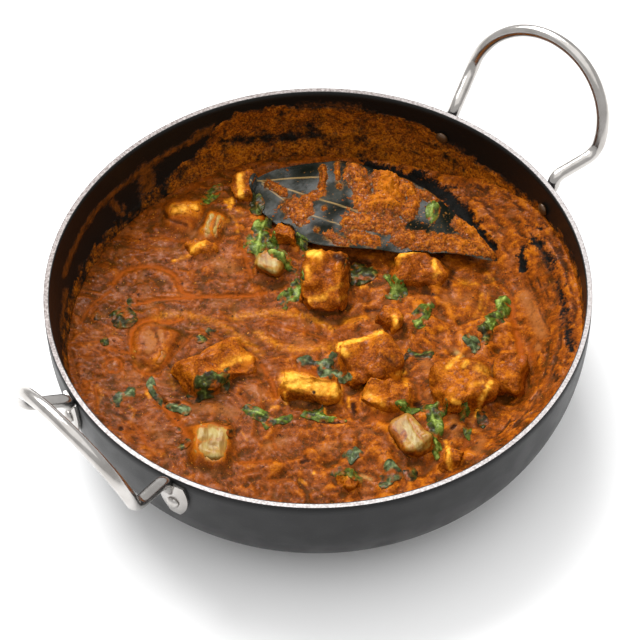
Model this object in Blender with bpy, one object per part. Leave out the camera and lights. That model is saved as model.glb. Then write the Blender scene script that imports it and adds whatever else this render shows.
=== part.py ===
"""Kadai paneer in the riveted two-handled pan it is cooked and served in.

Metres, +Z up.  The origin is the middle of the pan's flat base, +Y points away
from the viewer, and the two wire handles stand at the back right and front left.
"""

import math

import bmesh
import bpy
from mathutils import Matrix, Vector, noise
from mathutils.bvhtree import BVHTree

MM = 0.001

# ---- driving dimensions -------------------------------------------------------------
RIM_RADIUS = 130 * MM
RIM_HEIGHT = 74 * MM
BASE_RADIUS = 60 * MM
WALL = 2.6 * MM
FLOOR = 3 * MM
WALL_FULLNESS = 2.55       # exponent of the superellipse that rounds the wall
WALL_STATIONS = 10
PAN_STEPS = 48
CLEARANCE = 0.35 * MM      # between pieces that touch
ROOM = 0.6 * MM            # round a piece that stands in the gravy
LAID_GAP = 0.45 * MM       # under a leaf that lies on the food
LIFT_STEP = 0.3 * MM

WIRE_RADIUS = 3.25 * MM
LOOP_HALF_WIDTH = 38.7 * MM
LOOP_HEIGHT = 37.8 * MM
LOOP_CENTRE = 3.3 * MM     # height of the arc's centre above the line of its corners
LOOP_SLOPE = math.radians(68.9)
LOOP_STEPS = 20
CORNER_OUT = 151.1 * MM    # the corners' distance from the pan's axis
CORNER_RISE = 6.3 * MM     # and their height over the rim
LEG_PIVOT_OUT = 125.3 * MM
LEG_HALF_SPACING = 32 * MM
LEG_RISE = 0.6 * MM
BEND_RADIUS = 6 * MM

RIVET_DROP = 15.5 * MM     # below the rim
RIVET_HALF_SPACING = 34.9 * MM
RIVET_RADIUS = 2.2 * MM
RIVET_HEAD_RADIUS = 3.2 * MM
RIVET_HEAD_HEIGHT = 1.9 * MM
RIVET_SIDES = 8
RIVET_HOLE_SIDES = 10
RIVET_HOLE_DEPTH = 24 * MM
TAB_THICKNESS = 2.2 * MM
TAB_HALF_WIDTH = 7 * MM
TAB_ABOVE = 12 * MM
TAB_BELOW = 11 * MM
TAB_ROWS = 7

# name, azimuth of the handle, and the small lean of its loop about the sideways,
# outward and upward directions: both were bent by hand
HANDLES = (
    ("handle_back_right", 44.6, (2.9, 5.9, 4.1)),
    ("handle_front_left", 223.5, (-3.9, -2.2, -1.6)),
)

GRAVY_LEVEL = 35 * MM
GRAVY_RINGS = 11
GRAVY_WALL_ROWS = 4
WALL_CLIMB = 20 * MM       # how far the gravy is drawn up the wall on the right
CLIMB_FOOT = 97 * MM       # radius at which that slope starts
CLIMB_AZIMUTH = -12
CLIMB_SPREAD = 62
RIPPLE = 0.7 * MM
RIPPLE_SIZE = 17 * MM

# x, y, spread, height of the broad rises in the gravy (mm)
MOUNDS = (
    (64, -46, 34, 6.5),
    (20, -58, 30, 4.0),
    (30, -92, 26, 4.5),
    (54, 22, 26, 4.0),
    (-42, 74, 26, 2.5),
    (58, 78, 30, 3.5),
    (-45, -22, 22, 1.5),
)

# name, x, y, top over the gravy level, length, width, depth (mm), yaw, pitch, roll (degrees)
PANEER = (
    ("paneer_centre", 4, 31, 14.5, 28, 20, 14, 84, -22, 3),
    ("paneer_under_leaf", 50, 38, 10.5, 25, 15, 12, -8, 3, 10),
    ("paneer_ridge", 24.5, -19, 13.5, 27, 21, 15, 14, 3, 14),
    ("paneer_middle", 31, -40, 12.0, 20, 15, 13, -14, -4, 10),
    ("paneer_large", 68, -37, 16.5, 26, 25, 18, 24, 4, 6),
    ("paneer_right", 91, -29, 13.0, 22, 13, 14, 82, -4, -6),
    ("paneer_yellow", -4, -34, 10.5, 28, 11, 11, -14, -2, 12),
    ("paneer_left", -49, -18, 8.0, 36, 19, 11, 33, 2, 9),
    ("paneer_far_left", -64, 80, 6.0, 14, 9, 8, 6, 0, 8),
    ("paneer_back", -36, 94, 7.5, 14, 9, 9, 100, -6, 0),
    ("paneer_back_left", -57, 59, 4.0, 12, 8, 7, 24, 0, 6),
    ("paneer_by_greens", -16, 63, 8.5, 11, 7, 9, -20, 4, 0),
    ("paneer_front_right", 61, -80, 10.5, 15, 9, 10, 66, -3, 5),
    ("paneer_front", 12, -89, 8.5, 11, 8, 10, -64, 0, 4),
    ("paneer_bit_right", 35, 8, 10.0, 10, 8, 10, -30, 0, 6),
)

ONION = (
    ("onion_front_right", 42.5, -66, 12.5, 21, 14, 9, -58, -5, 8),
    ("onion_front_left", -51.5, -62.5, 4.0, 19, 15, 6, 82, -2, 3),
    ("onion_back", -22.5, 46, 7.5, 13, 11, 8, -20, -4, 6),
    ("onion_left", -79.5, -1.5, 2.0, 22, 18, 5, 70, 0, 0),
    ("onion_back_left", -51.5, 72, 5.0, 13, 8, 6, 66, 0, 4),
)

# name, x, y, length, width (mm), yaw (degrees), number of lobes
CORIANDER = (
    ("coriander_back_left", -29, 62, 16, 12, 30, 5),
    ("coriander_ribbon", -18, 37, 29, 8, -64, 7),
    ("coriander_by_leaf", -7, 58, 13, 7, 74, 4),
    ("coriander_dark", 25, 42, 13, 11, -30, 5),
    ("coriander_behind_block", 37, 26, 14, 8, -46, 5),
    ("coriander_bit", 51, 12, 13, 10, 52, 4),
    ("coriander_right", 88, 12, 18, 10, 64, 6),
    ("coriander_right_low", 80, 1, 10, 8, 20, 4),
    ("coriander_right_inner", 73, -11, 12, 7, -52, 4),
    ("coriander_over_block", 47, -18, 16, 5, 8, 5),
    ("coriander_middle", 41, -47.5, 12, 8, -28, 4),
    ("coriander_ruffle", 55, -66, 29, 12, -70, 8),
    ("coriander_edge", 73, -57, 16, 9, 22, 5),
    ("coriander_front", 32, -86, 14, 10, 62, 5),
    ("coriander_front_small", 15, -76, 11, 8, 30, 4),
    ("coriander_stem", 12, -83, 18, 5, -24, 5),
    ("coriander_far_left", -52, 93, 12, 7, 36, 4),
    ("coriander_under_leaf", -30, 84, 14, 9, -70, 5),
    ("coriander_left", -95, 15, 14, 8, -12, 5),
    ("coriander_by_left_block", -53, -31, 20, 8, 26, 6),
    ("coriander_sprig", -25, -48, 24, 8, -12, 6),
    ("coriander_sprig_right", -1, -49, 18, 6, -6, 5),
    ("coriander_centre", 0, -15, 19, 10, -26, 6),
    ("coriander_left_low", -95, -36, 14, 9, 24, 5),
    ("coriander_curved", -75, -30, 19, 5, -48, 5),
)

BAY_BASE = Vector((-33, 98, 38)) * MM
BAY_TIP = Vector((88, 43, 42)) * MM
BAY_HALF_WIDTH = 25 * MM
BAY_WIDEST = 0.72          # exponent that moves the widest place towards the base
BAY_BOW = 3 * MM           # sideways bow of the midrib
BAY_ARCH = 6.5 * MM        # rise of the midrib's middle over its ends
BAY_BACK_LIFT = 3.5 * MM   # the far edge is higher than the near one
BAY_WAVE = 0.8 * MM
BAY_ALONG = 18
BAY_ACROSS = 6
BAY_REACH = 5 * MM         # half the size of its faces, looked under for what it lies on
LEAF_THICKNESS = 0.8 * MM
LOBE_DEPTH = 0.2           # of a coriander leaf's half width

LEAF_SAUCE = ("gravy_on_bay_leaf", 31, 77, 38, 28, -14, 7)
LEAF_SAUCE_DEPTH = 5 * MM
LEAF_GREEN = ("coriander_on_bay_leaf", 57, 69, 11, 6, 80, 4)


# ---- materials ----------------------------------------------------------------------
def material(name, colour, roughness, metallic=0.0):
    mat = bpy.data.materials.new(name)
    mat.use_nodes = True
    shader = mat.node_tree.nodes["Principled BSDF"]
    shader.inputs["Base Color"].default_value = (*colour, 1.0)
    shader.inputs["Roughness"].default_value = roughness
    shader.inputs["Metallic"].default_value = metallic
    return mat


# ---- general modelling helpers ------------------------------------------------------
def add_object(name, mesh, mat=None):
    obj = bpy.data.objects.new(name, mesh)
    bpy.context.scene.collection.objects.link(obj)
    if mat is not None:
        mesh.materials.clear()
        mesh.materials.append(mat)
    return obj


def triangulate_quads(bm):
    bmesh.ops.triangulate(bm, faces=[face for face in bm.faces if len(face.verts) == 4])


def mesh_from(bm, name, smooth_angle=40):
    triangulate_quads(bm)
    bmesh.ops.recalc_face_normals(bm, faces=bm.faces)
    mesh = bpy.data.meshes.new(name)
    bm.to_mesh(mesh)
    bm.free()
    mesh.shade_smooth()
    mesh.set_sharp_from_angle(angle=math.radians(smooth_angle))
    return mesh


def apply_modifiers(obj):
    graph = bpy.context.evaluated_depsgraph_get()
    mesh = bpy.data.meshes.new_from_object(obj.evaluated_get(graph))
    obj.modifiers.clear()
    obj.data = mesh


def combine(obj, tools, operation):
    """Join the tools to obj, or cut them out of it, and remove them."""
    group = bpy.data.collections.new(obj.name + "_tools")
    bpy.context.scene.collection.children.link(group)
    for tool in tools:
        group.objects.link(tool)
    boolean = obj.modifiers.new(operation.lower(), "BOOLEAN")
    boolean.operation = operation
    boolean.operand_type = "COLLECTION"
    boolean.collection = group
    boolean.solver = "EXACT"
    apply_modifiers(obj)
    for tool in tools:
        bpy.data.objects.remove(tool)
    bpy.data.collections.remove(group)


def turned(profile, steps, name):
    """A closed body turned about Z; the profile runs between two points on the axis."""
    bm = bmesh.new()
    verts = [bm.verts.new((r, 0, z)) for r, z in profile]
    edges = [bm.edges.new(pair) for pair in zip(verts, verts[1:])]
    bmesh.ops.spin(bm, geom=verts + edges, cent=(0, 0, 0), axis=(0, 0, 1),
                   angle=2 * math.pi, steps=steps, use_merge=True)
    bmesh.ops.remove_doubles(bm, verts=bm.verts, dist=1e-6)
    return mesh_from(bm, name)


def smooth_step(low, high, value):
    t = min(max((value - low) / (high - low), 0.0), 1.0)
    return t * t * (3 - 2 * t)


# ---- the pan ------------------------------------------------------------------------
def wall_profile(rim_radius, base_radius, floor):
    """Points (radius, height) from the rim down to the edge of the flat base."""
    points = []
    for i in range(WALL_STATIONS + 1):
        angle = i / WALL_STATIONS * math.pi / 2
        reach = max(math.cos(angle), 0.0) ** (2 / WALL_FULLNESS)
        fall = math.sin(angle) ** (2 / WALL_FULLNESS)
        points.append((base_radius + (rim_radius - base_radius) * reach,
                       RIM_HEIGHT - (RIM_HEIGHT - floor) * fall))
    return points


OUTER_WALL = wall_profile(RIM_RADIUS, BASE_RADIUS, 0.0)
INNER_WALL = wall_profile(RIM_RADIUS - WALL, BASE_RADIUS - WALL / 2, FLOOR)


def radius_at(wall, height):
    """The wall's radius at a height, along the straight runs between its points."""
    for (r_top, z_top), (r_low, z_low) in zip(wall, wall[1:]):
        if z_low <= height <= z_top:
            return r_low + (r_top - r_low) * (height - z_low) / (z_top - z_low)
    return wall[-1][0]


def rivet_azimuths(handle_azimuth):
    spread = math.asin(RIVET_HALF_SPACING / RIM_RADIUS)
    middle = math.radians(handle_azimuth)
    return (middle - spread, middle + spread)


def rivet_frame(azimuth):
    """Local +Z points outward through the wall; the origin is on its outer face."""
    height = RIM_HEIGHT - RIVET_DROP
    radius = radius_at(OUTER_WALL, height)
    place = Vector((radius * math.cos(azimuth), radius * math.sin(azimuth), height))
    turn = Matrix.Rotation(azimuth, 4, "Z") @ Matrix.Rotation(math.pi / 2, 4, "Y")
    return Matrix.Translation(place) @ turn


def rivet_holes(azimuths):
    holes = []
    for azimuth in azimuths:
        bm = bmesh.new()
        radius = RIVET_RADIUS + CLEARANCE
        bmesh.ops.create_cone(bm, cap_ends=True, segments=RIVET_HOLE_SIDES, radius1=radius, radius2=radius,
                              depth=RIVET_HOLE_DEPTH, matrix=rivet_frame(azimuth))
        holes.append(add_object("rivet_hole", mesh_from(bm, "rivet_hole")))
    return holes


def build_pan(mat):
    profile = [(0, 0)] + OUTER_WALL[::-1] + INNER_WALL + [(0, FLOOR)]
    pan = add_object("pan", turned(profile, PAN_STEPS, "pan"), mat)
    azimuths = [a for _, middle, _ in HANDLES for a in rivet_azimuths(middle)]
    combine(pan, rivet_holes(azimuths), "DIFFERENCE")
    return pan


def build_rivets(mat):
    """Shank through tab and wall, a domed head on each side."""
    outside = CLEARANCE + TAB_THICKNESS + CLEARANCE
    inside = -(WALL + 2 * CLEARANCE)

    def dome(start, height, steps=3):
        points = []
        for i in range(steps + 1):
            angle = i / steps * math.pi / 2
            points.append((RIVET_HEAD_RADIUS * math.cos(angle), start + height * math.sin(angle)))
        return points

    outer = dome(outside, RIVET_HEAD_HEIGHT)
    inner = dome(inside, -RIVET_HEAD_HEIGHT)
    profile = [(0, outer[-1][1])] + outer[-2::-1] + [(RIVET_RADIUS, outside), (RIVET_RADIUS, inside)]
    profile += inner[:-1] + [(0, inner[-1][1])]
    mesh = turned(profile, RIVET_SIDES, "rivet")
    for name, middle, _ in HANDLES:
        for side, azimuth in zip("ab", rivet_azimuths(middle)):
            rivet = add_object(name.replace("handle", "rivet") + "_" + side, mesh, mat)
            rivet.matrix_world = rivet_frame(azimuth)


# ---- the handles --------------------------------------------------------------------
def rounded(points, corner, radius, steps=5):
    """Replace one corner of an open polyline by a curve that leaves it radius away."""
    here = points[corner]
    before = here + (points[corner - 1] - here).normalized() * radius
    after = here + (points[corner + 1] - here).normalized() * radius
    bend = []
    for i in range(steps + 1):
        t = i / steps
        bend.append(before * (1 - t) ** 2 + here * 2 * t * (1 - t) + after * t * t)
    return points[:corner] + bend + points[corner + 1:]


def loop_arc(lean):
    """The arc in the handle's frame: x outward, y sideways, z up from the base."""
    start = -math.asin(LOOP_CENTRE / LOOP_HEIGHT)
    pivot = Vector((LEG_PIVOT_OUT, 0, RIM_HEIGHT))
    turn = Matrix.Identity(4)
    for axis, angle in zip(((0, 1, 0), (1, 0, 0), (0, 0, 1)), lean):
        turn = Matrix.Rotation(math.radians(angle), 4, Vector(axis)) @ turn
    arc = []
    for i in range(LOOP_STEPS + 1):
        angle = start + (math.pi - 2 * start) * i / LOOP_STEPS
        side = LOOP_HALF_WIDTH * math.cos(angle)
        up = LOOP_CENTRE + LOOP_HEIGHT * math.sin(angle)
        point = Vector((CORNER_OUT + up * math.cos(LOOP_SLOPE), side,
                        RIM_HEIGHT + CORNER_RISE + up * math.sin(LOOP_SLOPE)))
        arc.append(turn @ (point - pivot) + pivot)
    return arc


def wall_point(side, beyond, below):
    """A point outside the wall: sideways place, gap from the wall, depth under the rim."""
    height = RIM_HEIGHT - below
    radius = radius_at(OUTER_WALL, min(height, RIM_HEIGHT)) + beyond
    angle = math.asin(side / RIM_RADIUS)
    return Vector((radius * math.cos(angle), radius * math.sin(angle), height))


def wire_path(lean):
    arc = loop_arc(lean)
    ends = []
    for sign in (1, -1):
        foot = wall_point(sign * (RIVET_HALF_SPACING - 1 * MM), CLEARANCE + 1.5 * MM, 9 * MM)
        knee = wall_point(sign * LEG_HALF_SPACING, CLEARANCE + WIRE_RADIUS + 0.6 * MM, -LEG_RISE)
        ends.append([foot, knee])
    # each corner's curve takes the place of the arc's first step
    points = ends[0] + arc[:1] + arc[2:-2] + arc[-1:] + ends[1][::-1]
    last = len(points) - 1
    points = rounded(points, last - 2, BEND_RADIUS)
    points = rounded(points, last - 1 + 5, 4 * MM)
    points = rounded(points, 2, BEND_RADIUS)
    return rounded(points, 1, 4 * MM)


def build_wire(name, lean):
    path = wire_path(lean)
    curve = bpy.data.curves.new(name, "CURVE")
    curve.dimensions = "3D"
    curve.bevel_depth = WIRE_RADIUS
    curve.bevel_resolution = 2
    curve.use_fill_caps = True
    spline = curve.splines.new("POLY")
    spline.points.add(len(path) - 1)
    for point, place in zip(spline.points, path):
        point.co = (*place, 1)
    for end in (spline.points[0], spline.points[-1]):
        end.radius = 0.45
    wire = bpy.data.objects.new(name, curve)
    bpy.context.scene.collection.objects.link(wire)
    graph = bpy.context.evaluated_depsgraph_get()
    mesh = bpy.data.meshes.new_from_object(wire.evaluated_get(graph))
    bpy.data.objects.remove(wire)
    mesh.shade_smooth()
    return mesh


def build_tab(sign):
    """A shield-shaped plate that follows the wall, pointed at its lower end."""
    bm = bmesh.new()
    faces = []
    for beyond in (CLEARANCE, CLEARANCE + TAB_THICKNESS):
        rows = []
        for i in range(TAB_ROWS):
            t = i / (TAB_ROWS - 1)
            below = RIVET_DROP + TAB_BELOW - t * (TAB_ABOVE + TAB_BELOW)
            half = TAB_HALF_WIDTH * math.sin(math.pi * (0.08 + 0.68 * t)) ** 0.8
            middle = sign * RIVET_HALF_SPACING
            rows.append([bm.verts.new(wall_point(middle + k * half, beyond, below)) for k in (-1, 0, 1)])
        faces.append(rows)
    inner, outer = faces
    for rows in faces:
        for low, high in zip(rows, rows[1:]):
            for k in range(2):
                bm.faces.new((low[k], low[k + 1], high[k + 1], high[k]))
    for a, b in zip(range(TAB_ROWS - 1), range(1, TAB_ROWS)):
        for k in (0, 2):
            bm.faces.new((inner[a][k], inner[b][k], outer[b][k], outer[a][k]))
    for row in (0, TAB_ROWS - 1):
        for k in range(2):
            bm.faces.new((inner[row][k], inner[row][k + 1], outer[row][k + 1], outer[row][k]))
    return add_object("tab", mesh_from(bm, "tab"))


def build_handle(name, azimuth, lean, mat):
    handle = add_object(name, build_wire(name, lean))
    combine(handle, [build_tab(1), build_tab(-1)], "UNION")
    handle.data.transform(Matrix.Rotation(math.radians(azimuth), 4, "Z"))
    combine(handle, rivet_holes(rivet_azimuths(azimuth)), "DIFFERENCE")
    handle.data.materials.clear()
    handle.data.materials.append(mat)
    return handle


# ---- gravy --------------------------------------------------------------------------
def gravy_height(x, y):
    height = GRAVY_LEVEL
    for mound_x, mound_y, spread, rise in MOUNDS:
        distance = math.hypot(x / MM - mound_x, y / MM - mound_y) / spread
        height += rise * MM * math.exp(-distance * distance)
    away = abs((math.degrees(math.atan2(y, x)) - CLIMB_AZIMUTH + 180) % 360 - 180)
    share = 1 - smooth_step(CLIMB_SPREAD * 0.6, CLIMB_SPREAD * 1.3, away)
    height += share * WALL_CLIMB * smooth_step(CLIMB_FOOT, RIM_RADIUS, math.hypot(x, y)) ** 0.8
    ripple = noise.noise(Vector((x, y, 0)) / RIPPLE_SIZE)
    return height + RIPPLE * ripple


def gravy_edge(azimuth):
    """Radius and height at which the gravy meets the wall."""
    height = GRAVY_LEVEL
    for _ in range(6):
        radius = radius_at(INNER_WALL, height) - CLEARANCE
        height = gravy_height(radius * math.cos(azimuth), radius * math.sin(azimuth))
    return radius, height


def build_gravy(mat):
    bm = bmesh.new()
    columns = []
    bottom = FLOOR + CLEARANCE
    for step in range(PAN_STEPS):
        azimuth = 2 * math.pi * step / PAN_STEPS
        across = Vector((math.cos(azimuth), math.sin(azimuth), 0))
        edge_radius, edge_height = gravy_edge(azimuth)
        column = []
        for ring in range(1, GRAVY_RINGS + 1):
            place = across * edge_radius * ring / GRAVY_RINGS
            place.z = gravy_height(place.x, place.y)
            column.append(bm.verts.new(place))
        for row in range(1, GRAVY_WALL_ROWS + 1):
            height = edge_height + (bottom - edge_height) * row / GRAVY_WALL_ROWS
            place = across * (radius_at(INNER_WALL, max(height, FLOOR)) - CLEARANCE)
            place.z = height
            column.append(bm.verts.new(place))
        columns.append(column)
    top = bm.verts.new((0, 0, gravy_height(0, 0)))
    for column, following in zip(columns, columns[1:] + columns[:1]):
        bm.faces.new((top, column[0], following[0]))
        for i in range(len(column) - 1):
            bm.faces.new((column[i], column[i + 1], following[i + 1], following[i]))
    bm.faces.new([column[-1] for column in columns])
    return add_object("gravy", mesh_from(bm, "gravy"), mat)


# ---- chunks that stand in the gravy ---------------------------------------------------
def chunk_mesh(name, size, seed, roundness, roughness, grow=0.0):
    """A worn block: a cube drawn towards a sphere, knocked about by smooth noise."""
    bm = bmesh.new()
    bmesh.ops.create_cube(bm, size=2)
    bmesh.ops.subdivide_edges(bm, edges=bm.edges, cuts=2, use_grid_fill=True)
    half = Vector(size) / 2
    for vert in bm.verts:
        point = vert.co.copy()
        ball = point.normalized() * 1.18
        point = point.lerp(ball, roundness)
        dent = noise.noise(point * 1.3 + Vector((seed * 7.3, seed * 3.1, seed * 5.7)))
        point *= 1 + roughness * dent
        vert.co = Vector([p * (h + grow) for p, h in zip(point, half)])
    return mesh_from(bm, name, 60)


def build_chunk(spec, seed, mat, roundness=0.4, roughness=0.16):
    """Return the piece and a slightly larger copy that makes room for it in the gravy."""
    name, x, y, rise, length, width, depth, yaw, pitch, roll = spec
    size = Vector((length, width, depth)) * MM
    turn = (Matrix.Rotation(math.radians(yaw), 4, "Z") @ Matrix.Rotation(math.radians(pitch), 4, "Y")
            @ Matrix.Rotation(math.radians(roll), 4, "X"))
    place = Vector((x * MM, y * MM, GRAVY_LEVEL + (rise - depth / 2) * MM))
    piece = add_object(name, chunk_mesh(name, size, seed, roundness, roughness), mat)
    room = add_object(name + "_room", chunk_mesh(name, size, seed, roundness, roughness, ROOM))
    for obj in (piece, room):
        obj.matrix_world = Matrix.Translation(place) @ turn
    return piece, room


# ---- leaves and sauce laid on what is already there --------------------------------------
class Ground:
    """The pieces laid so far, asked for their height by casting rays straight down."""

    def __init__(self):
        self.trees = []

    def add(self, obj):
        bpy.context.view_layer.update()
        graph = bpy.context.evaluated_depsgraph_get()
        bm = bmesh.new()
        bm.from_object(obj, graph)
        bm.transform(obj.matrix_world)
        self.trees.append(BVHTree.FromBMesh(bm))
        bm.free()

    def height(self, x, y, reach=0.0):
        """The highest surface at (x, y), or within reach of it."""
        places = [(x, y)]
        if reach:
            for share in (0.5, 1.0):
                for i in range(8):
                    angle = math.pi * i / 4
                    places.append((x + share * reach * math.cos(angle),
                                   y + share * reach * math.sin(angle)))
        best = 0.0
        for px, py in places:
            for tree in self.trees:
                hit = tree.ray_cast(Vector((px, py, 1.0)), Vector((0, 0, -1)))[0]
                if hit is not None:
                    best = max(best, hit.z)
        return best


def lift_clear(bm, columns, ground):
    """Raise the columns of a sheet's vertices until nothing laid before comes near it."""
    triangulate_quads(bm)
    bm.verts.index_update()
    for vert in bm.verts:
        vert.co.z -= CLEARANCE
    for _ in range(60):
        tree = BVHTree.FromBMesh(bm)
        bm.faces.ensure_lookup_table()
        touched = set()
        for other in ground.trees:
            for face, _ in tree.overlap(other):
                touched.update(vert.index for vert in bm.faces[face].verts)
        if not touched:
            break
        for low, high in columns:
            if low.index in touched or high.index in touched:
                low.co.z += LIFT_STEP
                high.co.z += LIFT_STEP
    for vert in bm.verts:
        vert.co.z += CLEARANCE


def laid_sheet(spec, ground, thickness, mat, curl=0.0, dome=0.0, least_reach=2.6 * MM):
    """A lobed sheet laid over the ground; dome thickens its middle into a pad."""
    name, x, y, length, width, yaw, lobes = spec
    reach = max(least_reach, 0.16 * length * MM)
    outline = lobes * 2 + (2 if lobes < 5 else 0)
    yaw = math.radians(yaw)
    seed = Vector((x * 0.37, y * 0.53, lobes))
    bm = bmesh.new()

    def pair(angle, share):
        """Lower and upper vertex at a place in the sheet."""
        edge = 1 + LOBE_DEPTH * math.cos(lobes * angle) * share
        along = length / 2 * MM * share * edge * math.cos(angle)
        across = width / 2 * MM * share * edge * math.sin(angle)
        px = x * MM + along * math.cos(yaw) - across * math.sin(yaw)
        py = y * MM + along * math.sin(yaw) + across * math.cos(yaw)
        turning = Vector((3 * math.cos(angle), 3 * math.sin(angle), 0))
        lift = curl * share * (0.5 + 0.5 * noise.noise(seed + turning))
        low = ground.height(px, py, reach) + LAID_GAP + lift
        high = low + thickness + dome * (1 - share * share)
        return bm.verts.new((px, py, low)), bm.verts.new((px, py, high))

    middle = pair(0.0, 0.0)
    rings = []
    for share in (0.5, 1.0):
        rings.append([pair(2 * math.pi * i / outline, share) for i in range(outline)])
    inner, outer = rings
    for i in range(outline):
        j = (i + 1) % outline
        for side in (0, 1):
            bm.faces.new((middle[side], inner[i][side], inner[j][side]))
            bm.faces.new((inner[i][side], outer[i][side], outer[j][side]))
            bm.faces.new((inner[i][side], outer[j][side], inner[j][side]))
        bm.faces.new((outer[i][0], outer[j][0], outer[j][1], outer[i][1]))
    lift_clear(bm, [middle] + inner + outer, ground)
    sheet = add_object(name, mesh_from(bm, name), mat)
    ground.add(sheet)
    return sheet


def bay_half_width(t):
    return BAY_HALF_WIDTH * max(math.sin(math.pi * t ** BAY_WIDEST), 0.0) ** 0.95


def build_bay_leaf(ground, mat):
    """A long pointed leaf: it arches over the gravy and rests on both its ends."""
    along = (BAY_TIP - BAY_BASE)
    run = Vector((along.x, along.y, 0))
    sideways = Vector((-run.y, run.x, 0)).normalized()
    bm = bmesh.new()

    def pair(t, k):
        centre = BAY_BASE + along * t
        bow = BAY_BOW * smooth_step(0.35, 0.6, t) * (1 - smooth_step(0.85, 1.0, t))
        place = centre + sideways * (bow + k * bay_half_width(t))
        wide = bay_half_width(t) / BAY_HALF_WIDTH
        wave = BAY_WAVE * math.sin(19 * t + 1.5 * k) * abs(k)
        planned = centre.z + BAY_ARCH * math.sin(math.pi * t) + BAY_BACK_LIFT * k * wide + wave
        low = max(planned, ground.height(place.x, place.y, BAY_REACH) + LAID_GAP)
        return (bm.verts.new((place.x, place.y, low)),
                bm.verts.new((place.x, place.y, low + LEAF_THICKNESS)))

    ends = [pair(0.0, 0.0), pair(1.0, 0.0)]
    rows = []
    for i in range(1, BAY_ALONG):
        t = i / BAY_ALONG
        rows.append([pair(t, 2 * j / BAY_ACROSS - 1) for j in range(BAY_ACROSS + 1)])
    for side in (0, 1):
        for row, end in ((rows[0], ends[0]), (rows[-1], ends[1])):
            for a, b in zip(row, row[1:]):
                bm.faces.new((end[side], a[side], b[side]))
        for row, following in zip(rows, rows[1:]):
            for j in range(BAY_ACROSS):
                bm.faces.new((row[j][side], row[j + 1][side], following[j + 1][side]))
                bm.faces.new((row[j][side], following[j + 1][side], following[j][side]))
    for j in (0, BAY_ACROSS):
        rim = [ends[0]] + [row[j] for row in rows] + [ends[1]]
        for a, b in zip(rim, rim[1:]):
            bm.faces.new((a[0], b[0], b[1], a[1]))
    lift_clear(bm, ends + [column for row in rows for column in row], ground)
    leaf = add_object("bay_leaf", mesh_from(bm, "bay_leaf"), mat)
    ground.add(leaf)
    return leaf


# ---- assembly -------------------------------------------------------------------------
def build():
    for obj in list(bpy.data.objects):
        bpy.data.objects.remove(obj)

    coating = material("pan_coating", (0.03, 0.03, 0.032), 0.45)
    steel = material("handle_steel", (0.55, 0.54, 0.52), 0.25, 1.0)
    gravy_mat = material("gravy", (0.36, 0.085, 0.012), 0.3)
    paneer_mat = material("paneer", (0.68, 0.26, 0.03), 0.5)
    onion_mat = material("onion", (0.55, 0.42, 0.16), 0.35)
    green_mat = material("coriander", (0.06, 0.15, 0.03), 0.45)
    bay_mat = material("bay_leaf", (0.035, 0.045, 0.035), 0.4)

    build_pan(coating)
    build_rivets(steel)
    for name, azimuth, lean in HANDLES:
        build_handle(name, azimuth, lean, steel)

    gravy = build_gravy(gravy_mat)
    pieces = []
    rooms = []
    for seed, spec in enumerate(PANEER):
        piece, room = build_chunk(spec, seed + 1, paneer_mat)
        pieces.append(piece)
        rooms.append(room)
    for seed, spec in enumerate(ONION):
        piece, room = build_chunk(spec, seed + 31, onion_mat, roundness=0.3, roughness=0.08)
        pieces.append(piece)
        rooms.append(room)
    combine(gravy, rooms, "DIFFERENCE")

    ground = Ground()
    for obj in [gravy] + pieces:
        ground.add(obj)
    for spec in CORIANDER:
        laid_sheet(spec, ground, LEAF_THICKNESS, green_mat, curl=1.2 * MM)
    build_bay_leaf(ground, bay_mat)
    laid_sheet(LEAF_SAUCE, ground, 0.8 * MM, gravy_mat, dome=LEAF_SAUCE_DEPTH)
    laid_sheet(LEAF_GREEN, ground, LEAF_THICKNESS, green_mat)


build()
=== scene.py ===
"""Looks of a kadai paneer in the two-handled pan it is cooked in.

Metres, in the frame of the solids: the origin is the middle of the pan's base and +Y points
away from the viewer.  Places read off the photograph are pixels of its 640 x 640 frame; they are
turned into places on the food by the camera, and everything placed by them lies on what carries it.
"""

import itertools
import math

import bmesh
import bpy
import mathutils
import numpy as np
from mathutils import Matrix, Vector
from mathutils.bvhtree import BVHTree


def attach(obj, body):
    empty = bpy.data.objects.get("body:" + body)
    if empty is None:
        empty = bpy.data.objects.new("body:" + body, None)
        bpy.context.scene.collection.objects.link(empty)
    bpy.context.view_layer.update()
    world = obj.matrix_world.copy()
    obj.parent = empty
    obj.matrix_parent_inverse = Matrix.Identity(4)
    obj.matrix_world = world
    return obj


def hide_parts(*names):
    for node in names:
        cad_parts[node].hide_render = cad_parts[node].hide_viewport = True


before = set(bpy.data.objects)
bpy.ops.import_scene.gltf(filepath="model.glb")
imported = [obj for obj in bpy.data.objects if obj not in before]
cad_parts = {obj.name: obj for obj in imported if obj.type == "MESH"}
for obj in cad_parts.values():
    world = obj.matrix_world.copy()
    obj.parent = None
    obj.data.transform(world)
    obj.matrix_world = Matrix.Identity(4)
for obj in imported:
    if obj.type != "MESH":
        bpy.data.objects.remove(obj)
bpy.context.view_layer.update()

MM = 0.001

# ---- camera: fitted to the rim's ellipse ----
IMAGE_PX = 640
FOCAL_PX = 3800.65
SENSOR_MM = 36
CAMERA_PLACE = np.array([0.83, -1162.2, 1449.1]) * MM
CAMERA_PITCH = math.radians(50.27)
CAMERA_ROLL = math.radians(-0.99)

# ---- the pan, as in the solids ----
RIM_RADIUS = 130 * MM
RIM_HEIGHT = 74 * MM
BASE_RADIUS = 60 * MM
WALL = 2.6 * MM
FLOOR = 3 * MM
WALL_FULLNESS = 2.55
PAN_STEPS = 720
BASE_RINGS = (12 * MM, 40 * MM)

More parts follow.
